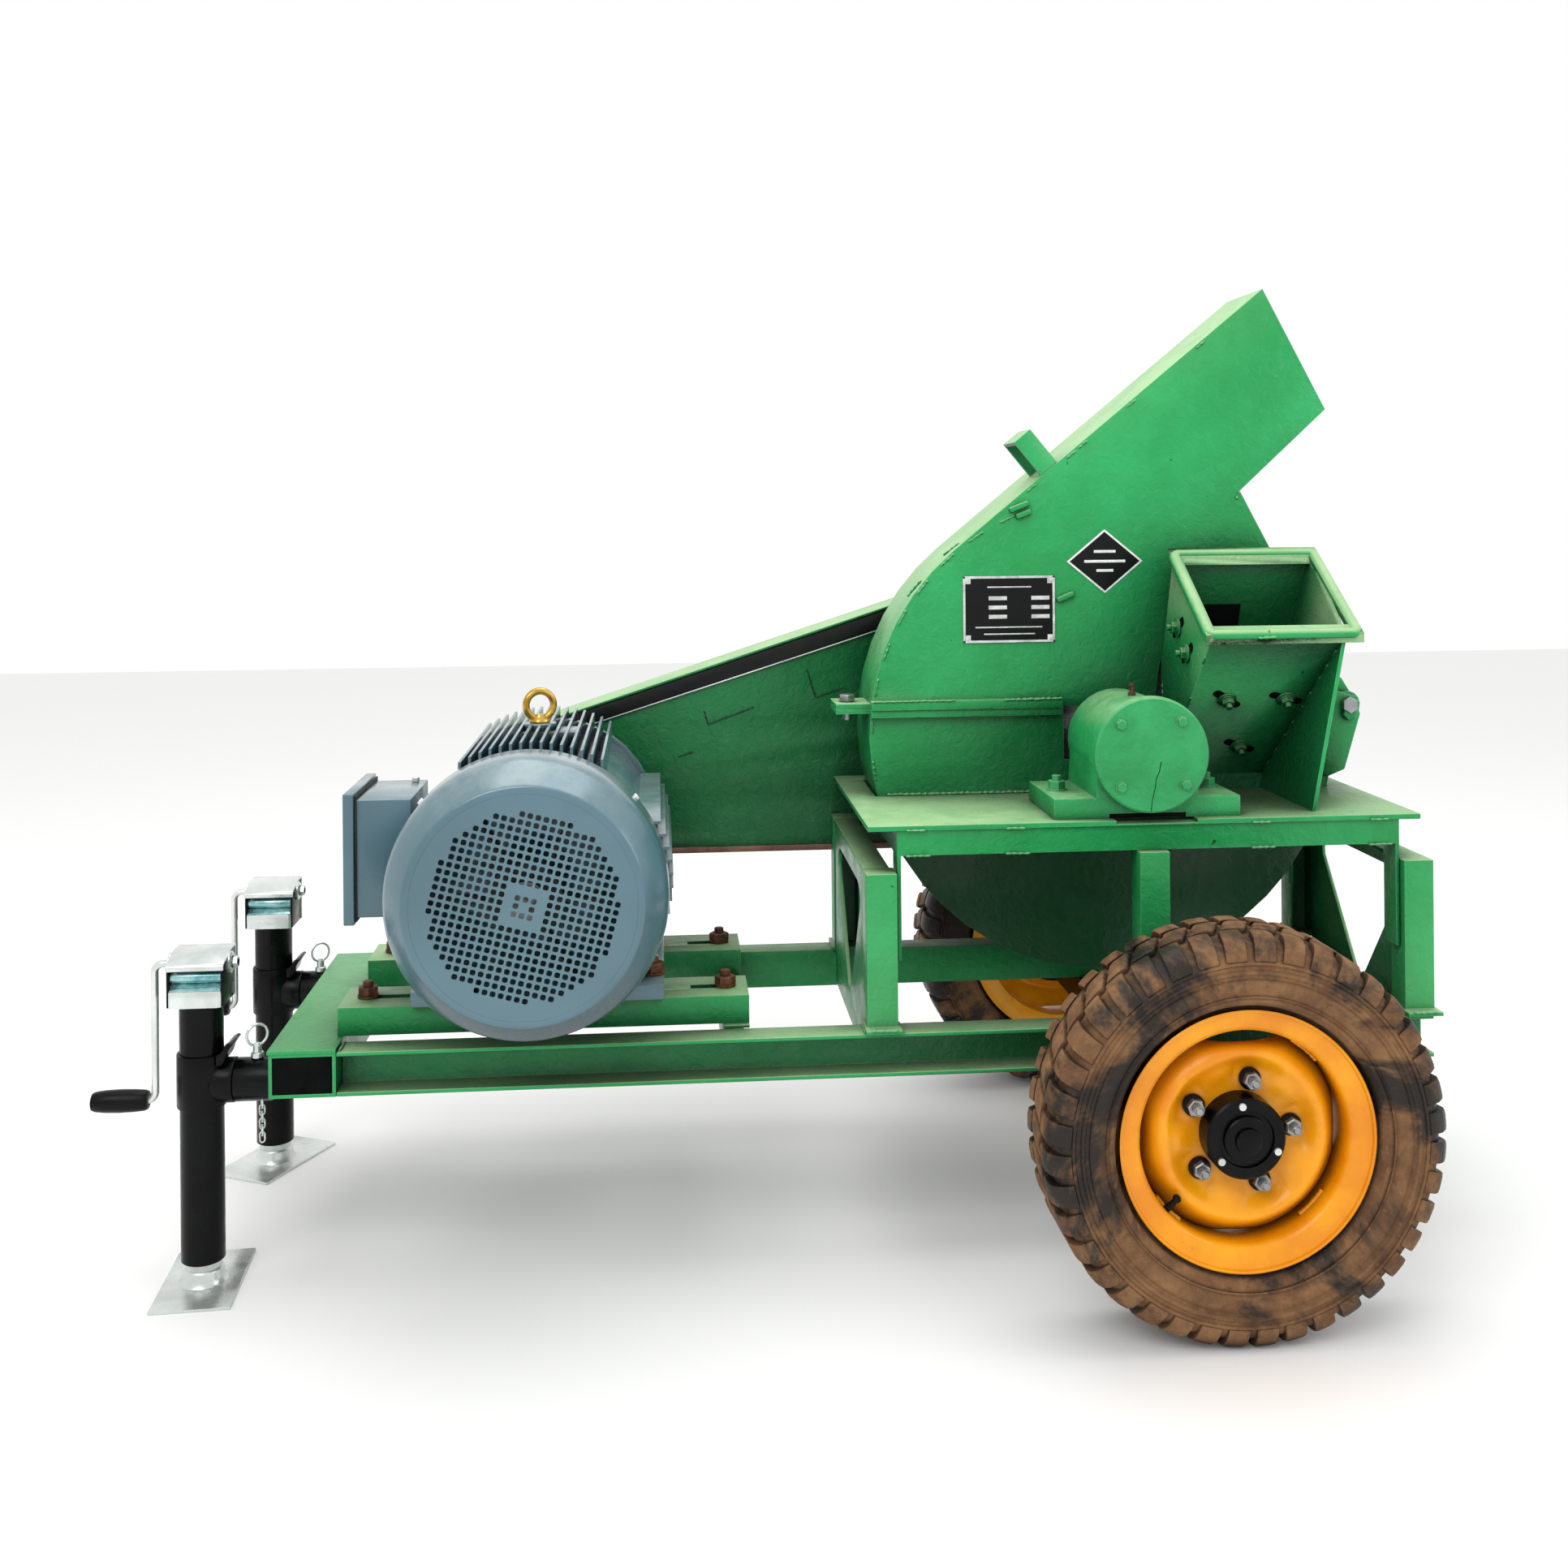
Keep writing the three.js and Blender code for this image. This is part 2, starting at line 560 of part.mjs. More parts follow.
function hopper() {
  const wall = 6;
  const back = DRUM_Y0 - GAP;
  const [nearY, nearZ] = MOUTH_NEAR;
  const [farY, farZ] = MOUTH_FAR;
  const floorAt = [back, THROAT_Z0];
  const slab = (p, q, down) => {
    const corners = [];
    for (const [y, z] of [p, q, [q[0], q[1] - down], [p[0], p[1] - down]]) {
      corners.push([MOUTH_X0, y, z], [rightPlateX(z), y, z]);
    }
    return wedge(corners);
  };
  const left = plateX(
    [floorAt, [back, THROAT_Z1], [farY, farZ], [nearY, nearZ]],
    MOUTH_X0,
    MOUTH_X0 + wall,
  );
  const right = wedge(
    [[back, TABLE_TOP + GAP], [back, THROAT_Z1], [farY, farZ], [nearY, nearZ], [-194, TABLE_TOP + GAP]]
      .flatMap(([y, z]) => [[rightPlateX(z), y, z], [rightPlateX(z) - wall, y, z]]),
  );
  const floor = slab([nearY, nearZ], floorAt, 8);
  const rear = slab([farY, farZ], [back, THROAT_Z1 + 6], 12);
  const rim = 16;
  const tilt = Math.atan2(farZ - nearZ, farY - nearY);
  const step = [Math.cos(tilt) * rim, Math.sin(tilt) * rim];
  const bar = (p, q, x0, x1) =>
    wedge([p, q].flatMap(([y, z]) => [x0, x1].flatMap((x) => [[x, y, z - 8], [x, y, z + 6]])));
  const nearIn = [nearY + step[0], nearZ + step[1]];
  const farIn = [farY - step[0], farZ - step[1]];
  const frame = join(
    bar([nearY - 5, nearZ - 3], nearIn, MOUTH_X0 - 8, MOUTH_X1 + 6),
    bar(farIn, [farY + 5, farZ + 3], MOUTH_X0 - 8, MOUTH_X1 + 6),
    bar([nearY - 5, nearZ - 3], [farY + 5, farZ + 3], MOUTH_X0 - 8, MOUTH_X0 + 8),
    bar([nearY - 5, nearZ - 3], [farY + 5, farZ + 3], MOUTH_X1 - 10, MOUTH_X1 + 6),
  );
  return join(left, right, floor, rear, frame);
}

part('hopper', hopper(), GREEN);
part('bed_knife', box(MOUTH_X0 + 10, THROAT_X1 - 12, 24.3, 36, 640, THROAT_Z0 + 11), STEEL);

// ---------------------------------------------------------------- bearings

// Pillow block: round housing on a foot, the foot hollowed underneath.
function pillowBlock(y0, y1, r, footHalf) {
  const foot = TABLE_TOP + GAP;
  const footY0 = Math.max(y0 + 12, TABLE_Y0 + 6);
  const web = [
    [ROTOR_X - r, foot + 20],
    [ROTOR_X + r, foot + 20],
    ...arc(ROTOR_X, ROTOR_Z, r - 4, 0, 180, 15),
  ];
  const studs = [-1, 1].map((side) =>
    studAndNut(ROTOR_X + side * (footHalf - 24), (footY0 + y1) / 2, foot + 29),
  );
  return cut(
    join(
      rodY(r, ROTOR_X, ROTOR_Z, y0, y1, 32),
      plateY(web, footY0, y1),
      box(ROTOR_X - footHalf, ROTOR_X + footHalf, footY0, y1, foot, foot + 30),
      ...studs,
    ),
    rodY(SHAFT_R + 1.5, ROTOR_X, ROTOR_Z, y0 - 5, y1 + 5, 24),
    box(ROTOR_X - 58, ROTOR_X + 58, footY0 - 5, y1 + 5, foot - 5, foot + 7),
  );
}

// Bolted end cover with four cap screws.
function bearingCover() {
  const screws = arc(ROTOR_X, ROTOR_Z, 60, 45, 315, 90).map(([x, z]) =>
    rodY(7, x, z, -246, -236, 6),
  );
  return join(rodY(86, ROTOR_X, ROTOR_Z, -239, -225, 36), ...screws);
}

part('bearing_near', pillowBlock(-224.7, -50, 78, 141), GREEN);
part('bearing_cover_near', bearingCover(), GREEN);
part('bearing_far', pillowBlock(186, 222, 70, 120), GREEN);

// ---------------------------------------------------------------- rotor

// Disc with four paddles behind it, on a hub keyed to the shaft.
function cutterDisc() {
  const hub = rodY(62, ROTOR_X, ROTOR_Z, 56, 150, 24);
  const disc = rodY(DISC_R, ROTOR_X, ROTOR_Z, 56, 80, 48);
  const paddles = [0, 1, 2, 3].map((i) => {
    const g = new THREE.BoxGeometry(150, 80, 12);
    g.translate(286, 118, 0).rotateY((i * Math.PI) / 2 + 0.4);
    return solid(g.translate(ROTOR_X, 0, ROTOR_Z));
  });
  const slots = [0, 1].map((i) => {
    const g = new THREE.BoxGeometry(170, 60, 16);
    g.translate(190, 68, 26).rotateY(i * Math.PI + 0.1);
    return solid(g.translate(ROTOR_X, 0, ROTOR_Z));
  });
  const bore = rodY(SHAFT_R + GAP, ROTOR_X, ROTOR_Z, 30, 200, 24);
  return cut(join(hub, disc, ...paddles), bore, ...slots);
}

function knife(i) {
  const g = new THREE.BoxGeometry(180, 12, 62);
  g.translate(190, 49.5, -12).rotateY(i * Math.PI + 0.1);
  return solid(g.translate(ROTOR_X, 0, ROTOR_Z));
}

// Grooved pulley; each groove is a truncated V.
function pulley(r, bore, x, z, segments) {
  const pitch = (PULLEY_Y1 - PULLEY_Y0) / GROOVES;
  const profile = [[bore, PULLEY_Y0], [r + 5, PULLEY_Y0]];
  for (let i = 0; i < GROOVES; i++) {
    const y = PULLEY_Y0 + pitch * (i + 0.5);
    profile.push([r + 5, y - 9], [r - 9, y - 6], [r - 9, y + 6], [r + 5, y + 9]);
  }
  profile.push([r + 5, PULLEY_Y1], [bore, PULLEY_Y1], [bore, PULLEY_Y0]);
  return turnedY(profile, x, z, segments);
}

part('main_shaft', rodY(SHAFT_R, ROTOR_X, ROTOR_Z, -220, 334, 24), STEEL);
part('cutter_disc', cutterDisc(), STEEL);
part('knife_1', knife(0), STEEL);
part('knife_2', knife(1), STEEL);
part('main_pulley', pulley(MAIN_PULLEY_R, SHAFT_R + GAP, ROTOR_X, ROTOR_Z, 24), CAST);

// ---------------------------------------------------------------- motor

function motorFrame() {
  const y0 = COWL_Y1 + 12;
  const y1 = 128;
  const barrel = rodY(MOTOR_R, MOTOR_X, MOTOR_Z, y0, y1, 24);
  const fins = [];
  for (let i = 0; i < 15; i++) {
    const x = MOTOR_X - 98 + i * 14;
    const z = MOTOR_Z + Math.sqrt(FIN_R ** 2 - (x - MOTOR_X) ** 2);
    fins.push(box(x - 2, x + 2, y0 + 10, y1 - 10, MOTOR_Z + 110, z));
  }
  for (let i = 0; i < 11; i++) {
    const z = MOTOR_Z - 100 + i * 18;
    const reach = Math.sqrt(FIN_R ** 2 - (z - MOTOR_Z) ** 2);
    fins.push(box(MOTOR_X, MOTOR_X + reach, y0 + 10, y1 - 10, z - 2, z + 2));
    if (i < 3) fins.push(box(MOTOR_X - reach, MOTOR_X, y0 + 10, y1 - 10, z - 2, z + 2));
  }
  const feet = [-1, 1].map((side) => {
    const xs = [MOTOR_X + side * 88, MOTOR_X + side * 182].sort((a, b) => a - b);
    const web = [MOTOR_X + side * 88, MOTOR_X + side * 150].sort((a, b) => a - b);
    return join(
      box(xs[0], xs[1], -205, 152, RAIL_TOP + GAP, RAIL_TOP + 22),
      box(web[0], web[1], -190, 120, RAIL_TOP + 10, MOTOR_Z - 60),
    );
  });
  const bolts = [-1, 1].flatMap((side) =>
    [RAIL_YS.near, RAIL_YS.far].map((y) => studAndNut(MOTOR_X + side * 166, y, RAIL_TOP + 21)),
  );
  const bore = rodY(MOTOR_SHAFT_R + 1.5, MOTOR_X, MOTOR_Z, y0 - 5, y1 + 5, 20);
  return cut(join(barrel, ...fins, ...feet, ...bolts), bore);
}

// Drive-end shield, coned towards the shaft.
const driveEndShield = turnedY(
  [
    [MOTOR_SHAFT_R + 1.5, 128.3],
    [MOTOR_R + 6, 128.3],
    [MOTOR_R + 6, 150],
    [96, 172],
    [60, 186],
    [MOTOR_SHAFT_R + 1.5, 186],
    [MOTOR_SHAFT_R + 1.5, 128.3],
  ],
  MOTOR_X,
  MOTOR_Z,
  32,
);

// Pressed fan cowl with a flat face; the face's ring of slots lets the air in.
function fanCowl() {
  const wall = 3;
  const shell = turnedY(
    [
      [0, COWL_Y0],
      [COWL_FACE_R, COWL_Y0],
      [COWL_FACE_R + 14, COWL_Y0 + 8],
      [COWL_R, COWL_Y0 + 52],
      [COWL_R, COWL_Y1],
      [COWL_R - wall, COWL_Y1],
      [COWL_R - wall, COWL_Y0 + 54],
      [COWL_FACE_R + 12, COWL_Y0 + 11],
      [COWL_FACE_R - 2, COWL_Y0 + wall],
      [0, COWL_Y0 + wall],
    ],
    MOTOR_X,
    MOTOR_Z,
    32,
  );
  const slots = [];
  for (let i = -4; i <= 4; i++) {
    const half = Math.sqrt(112 ** 2 - (i * 24) ** 2);
    slots.push(box(MOTOR_X - half, MOTOR_X + half, COWL_Y0 - 5, COWL_Y0 + 6,
      MOTOR_Z + i * 24 - 4, MOTOR_Z + i * 24 + 4));
  }
  const ring = cut(
    rodY(COWL_R - wall + 1, MOTOR_X, MOTOR_Z, COWL_Y1 - 8, COWL_Y1, 32),
    rodY(MOTOR_R + 2, MOTOR_X, MOTOR_Z, COWL_Y1 - 10, COWL_Y1 + 2, 32),
  );
  return cut(join(shell, ring), ...slots);
}

function motorFan() {
  const blades = [0, 1, 2, 3, 4, 5].map((i) => {
    const g = new THREE.BoxGeometry(100, 42, 5);
    g.translate(92, -383, 0).rotateY((i * Math.PI) / 3);
    return solid(g.translate(MOTOR_X, 0, MOTOR_Z));
  });
  return cut(
    join(rodY(50, MOTOR_X, MOTOR_Z, -404, -362, 24), ...blades),
    rodY(MOTOR_SHAFT_R + GAP, MOTOR_X, MOTOR_Z, -450, -340, 20),
  );
}

function terminalBox() {
  const lidX = MOTOR_X - 268;
  return join(
    box(lidX + 14, MOTOR_X - 174, -236, -66, 514, 680),
    box(lidX, lidX + 15, -244, -58, 505, 690),
    rodZ(16, MOTOR_X - 215, -150, 494, 516, 6),
  );
}

function liftingEye() {
  const ring = new THREE.TorusGeometry(21, 5, 8, 16);
  return join(
    solid(ring.rotateX(Math.PI / 2).rotateZ(0.3).translate(MOTOR_X - 2, -95, 794)),
    rodZ(12, MOTOR_X - 2, -95, MOTOR_Z + FIN_R + GAP, 774, 16),
  );
}

part('motor_frame', motorFrame(), BLUE_GREY);
part('drive_end_shield', driveEndShield, BLUE_GREY);
part('fan_cowl', fanCowl(), BLUE_GREY);
part('terminal_box', terminalBox(), BLUE_GREY);
part('lifting_eye', liftingEye(), BRASS);
part('motor_fan', motorFan(), PLASTIC);
part('motor_shaft', rodY(MOTOR_SHAFT_R, MOTOR_X, MOTOR_Z, -408, 330, 20), STEEL);
part('motor_pulley', pulley(MOTOR_PULLEY_R, MOTOR_SHAFT_R + GAP, MOTOR_X, MOTOR_Z, 20), CAST);

// ---------------------------------------------------------------- belts and guard

// Outline round both pulleys: two arcs joined by their outer tangents.
function aroundPulleys(motorR, mainR) {
  const dx = ROTOR_X - MOTOR_X;
  const dz = ROTOR_Z - MOTOR_Z;
  const line = THREE.MathUtils.radToDeg(Math.atan2(dz, dx));
  const open = THREE.MathUtils.radToDeg(Math.acos((motorR - mainR) / Math.hypot(dx, dz)));
  return [
    ...arc(MOTOR_X, MOTOR_Z, motorR, line + open, line + 360 - open, 18),
    ...arc(ROTOR_X, ROTOR_Z, mainR, line - open, line + open, 12),
  ];
}

// Three belts banded together by a thin tie band on their backs.
function beltBand() {
  const pitch = (PULLEY_Y1 - PULLEY_Y0) / GROOVES;
  const loop = (r0, r1, y0, y1) =>
    cut(
      plateY(aroundPulleys(MOTOR_PULLEY_R + r1, MAIN_PULLEY_R + r1), y0, y1),
      plateY(aroundPulleys(MOTOR_PULLEY_R + r0, MAIN_PULLEY_R + r0), y0 - 2, y1 + 2),
    );
  const ribs = [];
  for (let i = 0; i < GROOVES; i++) {
    const y = PULLEY_Y0 + pitch * (i + 0.5);
    ribs.push(loop(-6, 8, y - 5, y + 5));
  }
  return join(loop(7, 10, PULLEY_Y0 + 3, PULLEY_Y1 - 3), ...ribs);
}

// Closed sheet-metal guard, its roof sloping up to the main pulley.
function beltGuard() {
  const roof = (x) => 735 + (x + 331) * 0.3191;
  const bottom = 493;
  const left = -462;
  const right = ROTOR_X + 222;
  const outline = [
    [left + 40, bottom],
    [right - 120, bottom],
    ...arc(ROTOR_X, ROTOR_Z, 222, -45, 30, 15),
    [ROTOR_X + 60, roof(ROTOR_X + 60)],
    [left + 40, roof(left + 40)],
    [left, 640],
    [left, bottom + 40],
  ];
  const wall = 3;
  const shell = cut(
    plateY(outline, GUARD_Y0, GUARD_Y1),
    plateY(inset(outline, wall), GUARD_Y0 + wall, GUARD_Y1 - wall),
  );
  const lid = plateY(
    [
      [left + 40, roof(left + 40)],
      [ROTOR_X + 60, roof(ROTOR_X + 60)],
      [ROTOR_X + 60, roof(ROTOR_X + 60) + 5],
      [left + 40, roof(left + 40) + 5],
    ],
    GUARD_Y0 - 6,
    GUARD_Y1,
  );
  const holes = join(
    rodY(SHAFT_R + 8, ROTOR_X, ROTOR_Z, GUARD_Y0 - 5, GUARD_Y0 + 20),
    rodY(MOTOR_SHAFT_R + 10, MOTOR_X, MOTOR_Z, GUARD_Y0 - 5, GUARD_Y0 + 20),
  );
  return cut(join(shell, lid), holes);
}

part('belt_band', beltBand(), BELT);
part('belt_guard', beltGuard(), GREEN);

// ---------------------------------------------------------------- road wheels

// Turned shapes are written for the near wheel with y measured outwards from the
// wheel's middle plane, and mirrored for the far one.
function wheelProfile(profile, side) {
  return profile.map(([r, out]) => [r, side * (TRACK_HALF + out)]);
}

function tyre(side) {
  const half = TYRE_W / 2;
  const profile = [
    [RIM_BARREL_R + 6, -42],
    [RIM_FLANGE_R + 3, -47],
    [RIM_FLANGE_R + 6, -half + 12],
    [205, -half],
    [238, -half + 4],
    [TYRE_R - 4, -half + 16],
    [TYRE_R, -34],
    [TYRE_R, 34],
    [TYRE_R - 4, half - 16],
    [238, half - 4],
    [205, half],
    [RIM_FLANGE_R + 6, half - 12],
    [RIM_FLANGE_R + 3, 47],
    [RIM_BARREL_R + 6, 42],
    [RIM_BARREL_R + 6, -42],
  ];
  return turnedY(wheelProfile(profile, side), WHEEL_X, TYRE_R, 32);
}

// Well-based rim with a dished centre disc and air openings round it.
function rim(side) {
  const profile = [
    [48, 8],
    [84, 8],
    [104, 26],
    [126, 22],
    [RIM_BARREL_R - 14, -6],
    [RIM_BARREL_R - 14, -46],
    [RIM_FLANGE_R, -55],
    [RIM_FLANGE_R, -48],
    [RIM_BARREL_R + 3, -43],
    [RIM_BARREL_R - 8, -30],
    [RIM_BARREL_R - 8, 24],
    [RIM_BARREL_R + 3, 43],
    [RIM_FLANGE_R, 48],
    [RIM_FLANGE_R, 55],
    [RIM_BARREL_R - 14, 44],
    [RIM_BARREL_R - 14, 20],
    [128, 30],
    [103, 34],
    [82, 15],
    [48, 15],
    [48, 8],
  ];
  const body = turnedY(wheelProfile(profile, side), WHEEL_X, TYRE_R, 24);
  const holes = [];
  for (let i = 0; i < LUG_COUNT; i++) {
    const a = (i / LUG_COUNT) * 2 * Math.PI + LUG_PHASE;
    const [x, z] = [WHEEL_X + LUG_PCD_R * Math.cos(a), TYRE_R + LUG_PCD_R * Math.sin(a)];
    const ys = [side * (TRACK_HALF - 10), side * (TRACK_HALF + 30)].sort((p, q) => p - q);
    holes.push(rodY(7.5, x, z, ys[0], ys[1], 8));
  }
  return cut(body, ...holes);
}

// Hub with its flange, five studs with nuts, and the end cap.
function hub(side) {
  const span = (a, b) => [side * (TRACK_HALF + a), side * (TRACK_HALF + b)].sort((p, q) => p - q);
  const rod = (r, a, b, n = 20) => rodY(r, WHEEL_X, TYRE_R, ...span(a, b), n);
  const studs = [];
  for (let i = 0; i < LUG_COUNT; i++) {
    const a = (i / LUG_COUNT) * 2 * Math.PI + LUG_PHASE;
    const [x, z] = [WHEEL_X + LUG_PCD_R * Math.cos(a), TYRE_R + LUG_PCD_R * Math.sin(a)];
    studs.push(rodY(6.5, x, z, ...span(-2, 34), 8));
    studs.push(rodY(12, x, z, ...span(16, 27), 6));
  }
  const body = join(
    rod(HUB_R, -82, 52),
    rod(86, -6, 7.7),
    rod(30, 52, 58),
    ...studs,
  );
  return cut(body, rod(19.6, -90, 53.5));
}

for (const [label, side] of [['near', -1], ['far', 1]]) {
  part(`tyre_${label}`, tyre(side), RUBBER);
  part(`rim_${label}`, rim(side), ORANGE);
  part(`hub_${label}`, hub(side), BLACK);
}

// ---------------------------------------------------------------- jacks

const between = (side, a, b) => [side * a, side * b].sort((p, q) => p - q);

// Outer tube with the swivel spigot that turns in the frame's pipe.
function jackTube(side) {
  const y = side * JACK_Y;
  const collar = rodZ(JACK_R + 4, JACK_X, y, JACK_PIVOT_Z - 34, JACK_PIVOT_Z + 42, 24);
  const spigot = rodX(24.6, y, JACK_PIVOT_Z, JACK_X, CROSS_X0 - 5);
  const flange = rodX(31, y, JACK_PIVOT_Z, JACK_X, PIPE_END_X - 0.5);
  return cut(
    join(rodZ(JACK_R, JACK_X, y, JACK_TUBE_Z0, JACK_TUBE_Z1, 24), collar, spigot, flange),
    rodZ(JACK_R - 4, JACK_X, y, JACK_TUBE_Z0 - 5, JACK_TUBE_Z1 + 5, 24),
  );
}

// Inner leg welded to its foot plate; the foot sits turned a little.
function jackLeg(side) {
  const y = side * JACK_Y;
  const plate = new THREE.BoxGeometry(109, 180, 4);
  plate.rotateZ(side < 0 ? 0.05 : -0.45).translate(JACK_X, y, 2);
  return cut(
    join(
      rodZ(JACK_R - 5, JACK_X, y, 3, 340, 24),
      rodZ(JACK_R - 2, JACK_X, y, 3, 22, 24),
      solid(plate),
    ),
    rodZ(JACK_R - 9, JACK_X, y, 12, 345, 24),
  );
}

// Pressed cap over the bevel gears, open at the front and back.
function jackHead(side) {
  const y = side * JACK_Y;
  const [z0, z1] = [JACK_TUBE_Z1 + GAP, JACK_HEAD_TOP];
  const outer = box(JACK_X - HEAD_HALF_X, JACK_X + HEAD_HALF_X, y - HEAD_HALF_Y, y + HEAD_HALF_Y, z0, z1);
  const windows = box(
    JACK_X - HEAD_HALF_X + 6, JACK_X + HEAD_HALF_X - 6, y - 50, y + 50, CRANK_Z - 20, CRANK_Z + 12,
  );
  const shaftHole = rodX(8.5, y, CRANK_Z, JACK_X - 60, JACK_X + 60, 16);
  return cut(outer, windows, shaftHole);
}

// Cranked rod: shaft through the head, a drop, and the spindle of the grip.
function jackCrank(side) {
  const y = side * JACK_Y;
  const low = CRANK_Z - CRANK_DROP;
  const bend = 12;
  const path = new THREE.CurvePath();
  const p = (x, z) => new THREE.Vector3(x, y, z);
  path.add(new THREE.LineCurve3(p(JACK_X + 52, CRANK_Z), p(CRANK_ROD_X + bend, CRANK_Z)));
  path.add(
    new THREE.QuadraticBezierCurve3(
      p(CRANK_ROD_X + bend, CRANK_Z), p(CRANK_ROD_X, CRANK_Z), p(CRANK_ROD_X, CRANK_Z - bend),
    ),
  );
  path.add(new THREE.LineCurve3(p(CRANK_ROD_X, CRANK_Z - bend), p(CRANK_ROD_X, low + 6)));
  const section = new THREE.Shape();
  section.absarc(0, 0, 5.5, 0, 2 * Math.PI);
  const rod = new THREE.ExtrudeGeometry(section, { steps: 16, extrudePath: path, curveSegments: 4 });
  return join(
    solid(rod),
    rodX(5.5, y, low, GRIP_X0 + 8, CRANK_ROD_X + 5, 12),
    rodZ(5.5, CRANK_ROD_X, y, low - 5, low + 20, 12),
    rodX(11, y, CRANK_Z, JACK_X - 32, JACK_X - 14),
  );
}

function jackGrip(side) {
  const y = side * JACK_Y;
  const low = CRANK_Z - CRANK_DROP;
  return cut(rodX(GRIP_R, y, low, GRIP_X0, GRIP_X1, 20), rodX(6, y, low, GRIP_X0 + 6, GRIP_X1 + 2, 16));
}

// Spring pull pin on top of the pivot pipe, with its ring.
function jackPin(side) {
  const y = side * JACK_Y;
  const top = JACK_PIVOT_Z + 29;
  const ring = new THREE.TorusGeometry(15, 2, 6, 14);
  return join(
    rodZ(6, PIN_X, y, JACK_PIVOT_Z + 25.5, top + 20, 12),
    rodZ(9, PIN_X, y, top + 1, top + 9, 12),
    solid(ring.rotateX(Math.PI / 2).rotateZ(0.6).translate(PIN_X, y, top + 33)),
  );
}

for (const [label, side] of [['near', -1], ['far', 1]]) {
  part(`jack_tube_${label}`, jackTube(side), BLACK);
  part(`jack_leg_${label}`, jackLeg(side), ZINC);
  part(`jack_head_${label}`, jackHead(side), ZINC);
  part(`jack_crank_${label}`, jackCrank(side), ZINC);
  part(`jack_grip_${label}`, jackGrip(side), GRIP);
  part(`jack_pin_${label}`, jackPin(side), ZINC);
}

export default group;
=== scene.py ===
"""Looks of the towed wood chipper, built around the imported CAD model.

Lengths in the calls below are millimetres in the row frame: +X towards the chipper,
-Y the side with the feed hopper, +Z up, with the origin on the ground.
"""

import json
import random
from math import atan2, cos, exp, hypot, pi, radians, sin, sqrt

import bmesh
import bpy
from mathutils import Matrix, Vector


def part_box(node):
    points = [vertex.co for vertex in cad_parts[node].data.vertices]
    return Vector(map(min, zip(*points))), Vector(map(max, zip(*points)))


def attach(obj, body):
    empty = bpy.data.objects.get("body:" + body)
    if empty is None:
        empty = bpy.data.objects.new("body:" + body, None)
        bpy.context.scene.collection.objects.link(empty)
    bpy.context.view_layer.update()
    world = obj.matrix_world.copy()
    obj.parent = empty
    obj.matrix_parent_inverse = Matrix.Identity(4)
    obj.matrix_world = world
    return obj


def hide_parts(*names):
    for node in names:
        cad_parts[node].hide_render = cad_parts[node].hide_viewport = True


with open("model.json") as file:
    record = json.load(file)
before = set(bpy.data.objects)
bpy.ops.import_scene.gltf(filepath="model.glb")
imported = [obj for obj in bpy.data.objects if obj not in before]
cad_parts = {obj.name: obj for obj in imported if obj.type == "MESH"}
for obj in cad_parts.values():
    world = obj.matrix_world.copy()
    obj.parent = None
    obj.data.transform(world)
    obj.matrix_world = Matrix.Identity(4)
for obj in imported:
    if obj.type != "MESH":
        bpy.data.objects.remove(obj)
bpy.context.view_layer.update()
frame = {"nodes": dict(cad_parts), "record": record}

MM = 0.001
ROTOR = (547, 721)  # X and Z of the main shaft
MOTOR = (-353, 571)
WHEEL = (577, 267)
WHEEL_Y = 480
LUG_PHASE = 0.09
JACK_X, JACK_Y = -825, 215
PIPE_Z = 285
PIN_X = -748
CRANK_Z, GRIP_Z = 452, 260
COVER_Y = 18  # near face of the housing
SIDES = (("near", -1), ("far", 1))


# --- small helpers

def turns(count):
    """Angles that divide a circle equally."""
    return [2 * pi * i / count for i in range(count)]


def around(centre, r, a):
    """The [x, z] point at radius r and angle a about a centre."""
    return centre[0] + r * cos(a), centre[1] + r * sin(a)


def arc_points(cx, cz, r, a0, a1, n):
    """Points along an arc between two angles in degrees."""
    return [around((cx, cz), r, radians(a0 + (a1 - a0) * i / n)) for i in range(n + 1)]


def standing_ring(cx, cy, cz, r, turn, count):
    """Points of an upright ring, turned about the vertical."""
    return [(cx + r * cos(a) * cos(turn), cy + r * cos(a) * sin(turn), cz + r * sin(a)) for a in turns(count)]


def sided(profile, side):
    """A profile of [radius, out] points, with out towards one side of the machine."""
    return [(r, side * out) for r, out in profile]


def ring_faces(rings, count, base=0, closed=False):
    """Quads between each ring of count points and the next."""
    faces = []
    for i in range(rings if closed else rings - 1):
        here, there = base + i * count, base + (i + 1) % rings * count
        for k in range(count):
            m = (k + 1) % count
            faces.append((here + k, here + m, there + m, there + k))
    return faces


def set_inputs(node, values):
    for key, value in values.items():
        node.inputs[key].default_value = value


def add_object(name, data):
    obj = bpy.data.objects.new(name, data)
    bpy.context.scene.collection.objects.link(obj)
    return obj


def evaluated_mesh(obj):
    """The object's shape with its modifiers or curve settings applied."""
    bpy.context.view_layer.update()
    return bpy.data.meshes.new_from_object(obj.evaluated_get(bpy.context.evaluated_depsgraph_get()))


# --- camera and light

def rgb(code):
    """An sRGB hex colour as the linear colour that shaders take."""
    parts = [int(code[i:i + 2], 16) / 255 for i in (0, 2, 4)]
    linear = [c / 12.92 if c <= 0.04045 else ((c + 0.055) / 1.055) ** 2.4 for c in parts]
    return (*linear, 1.0)


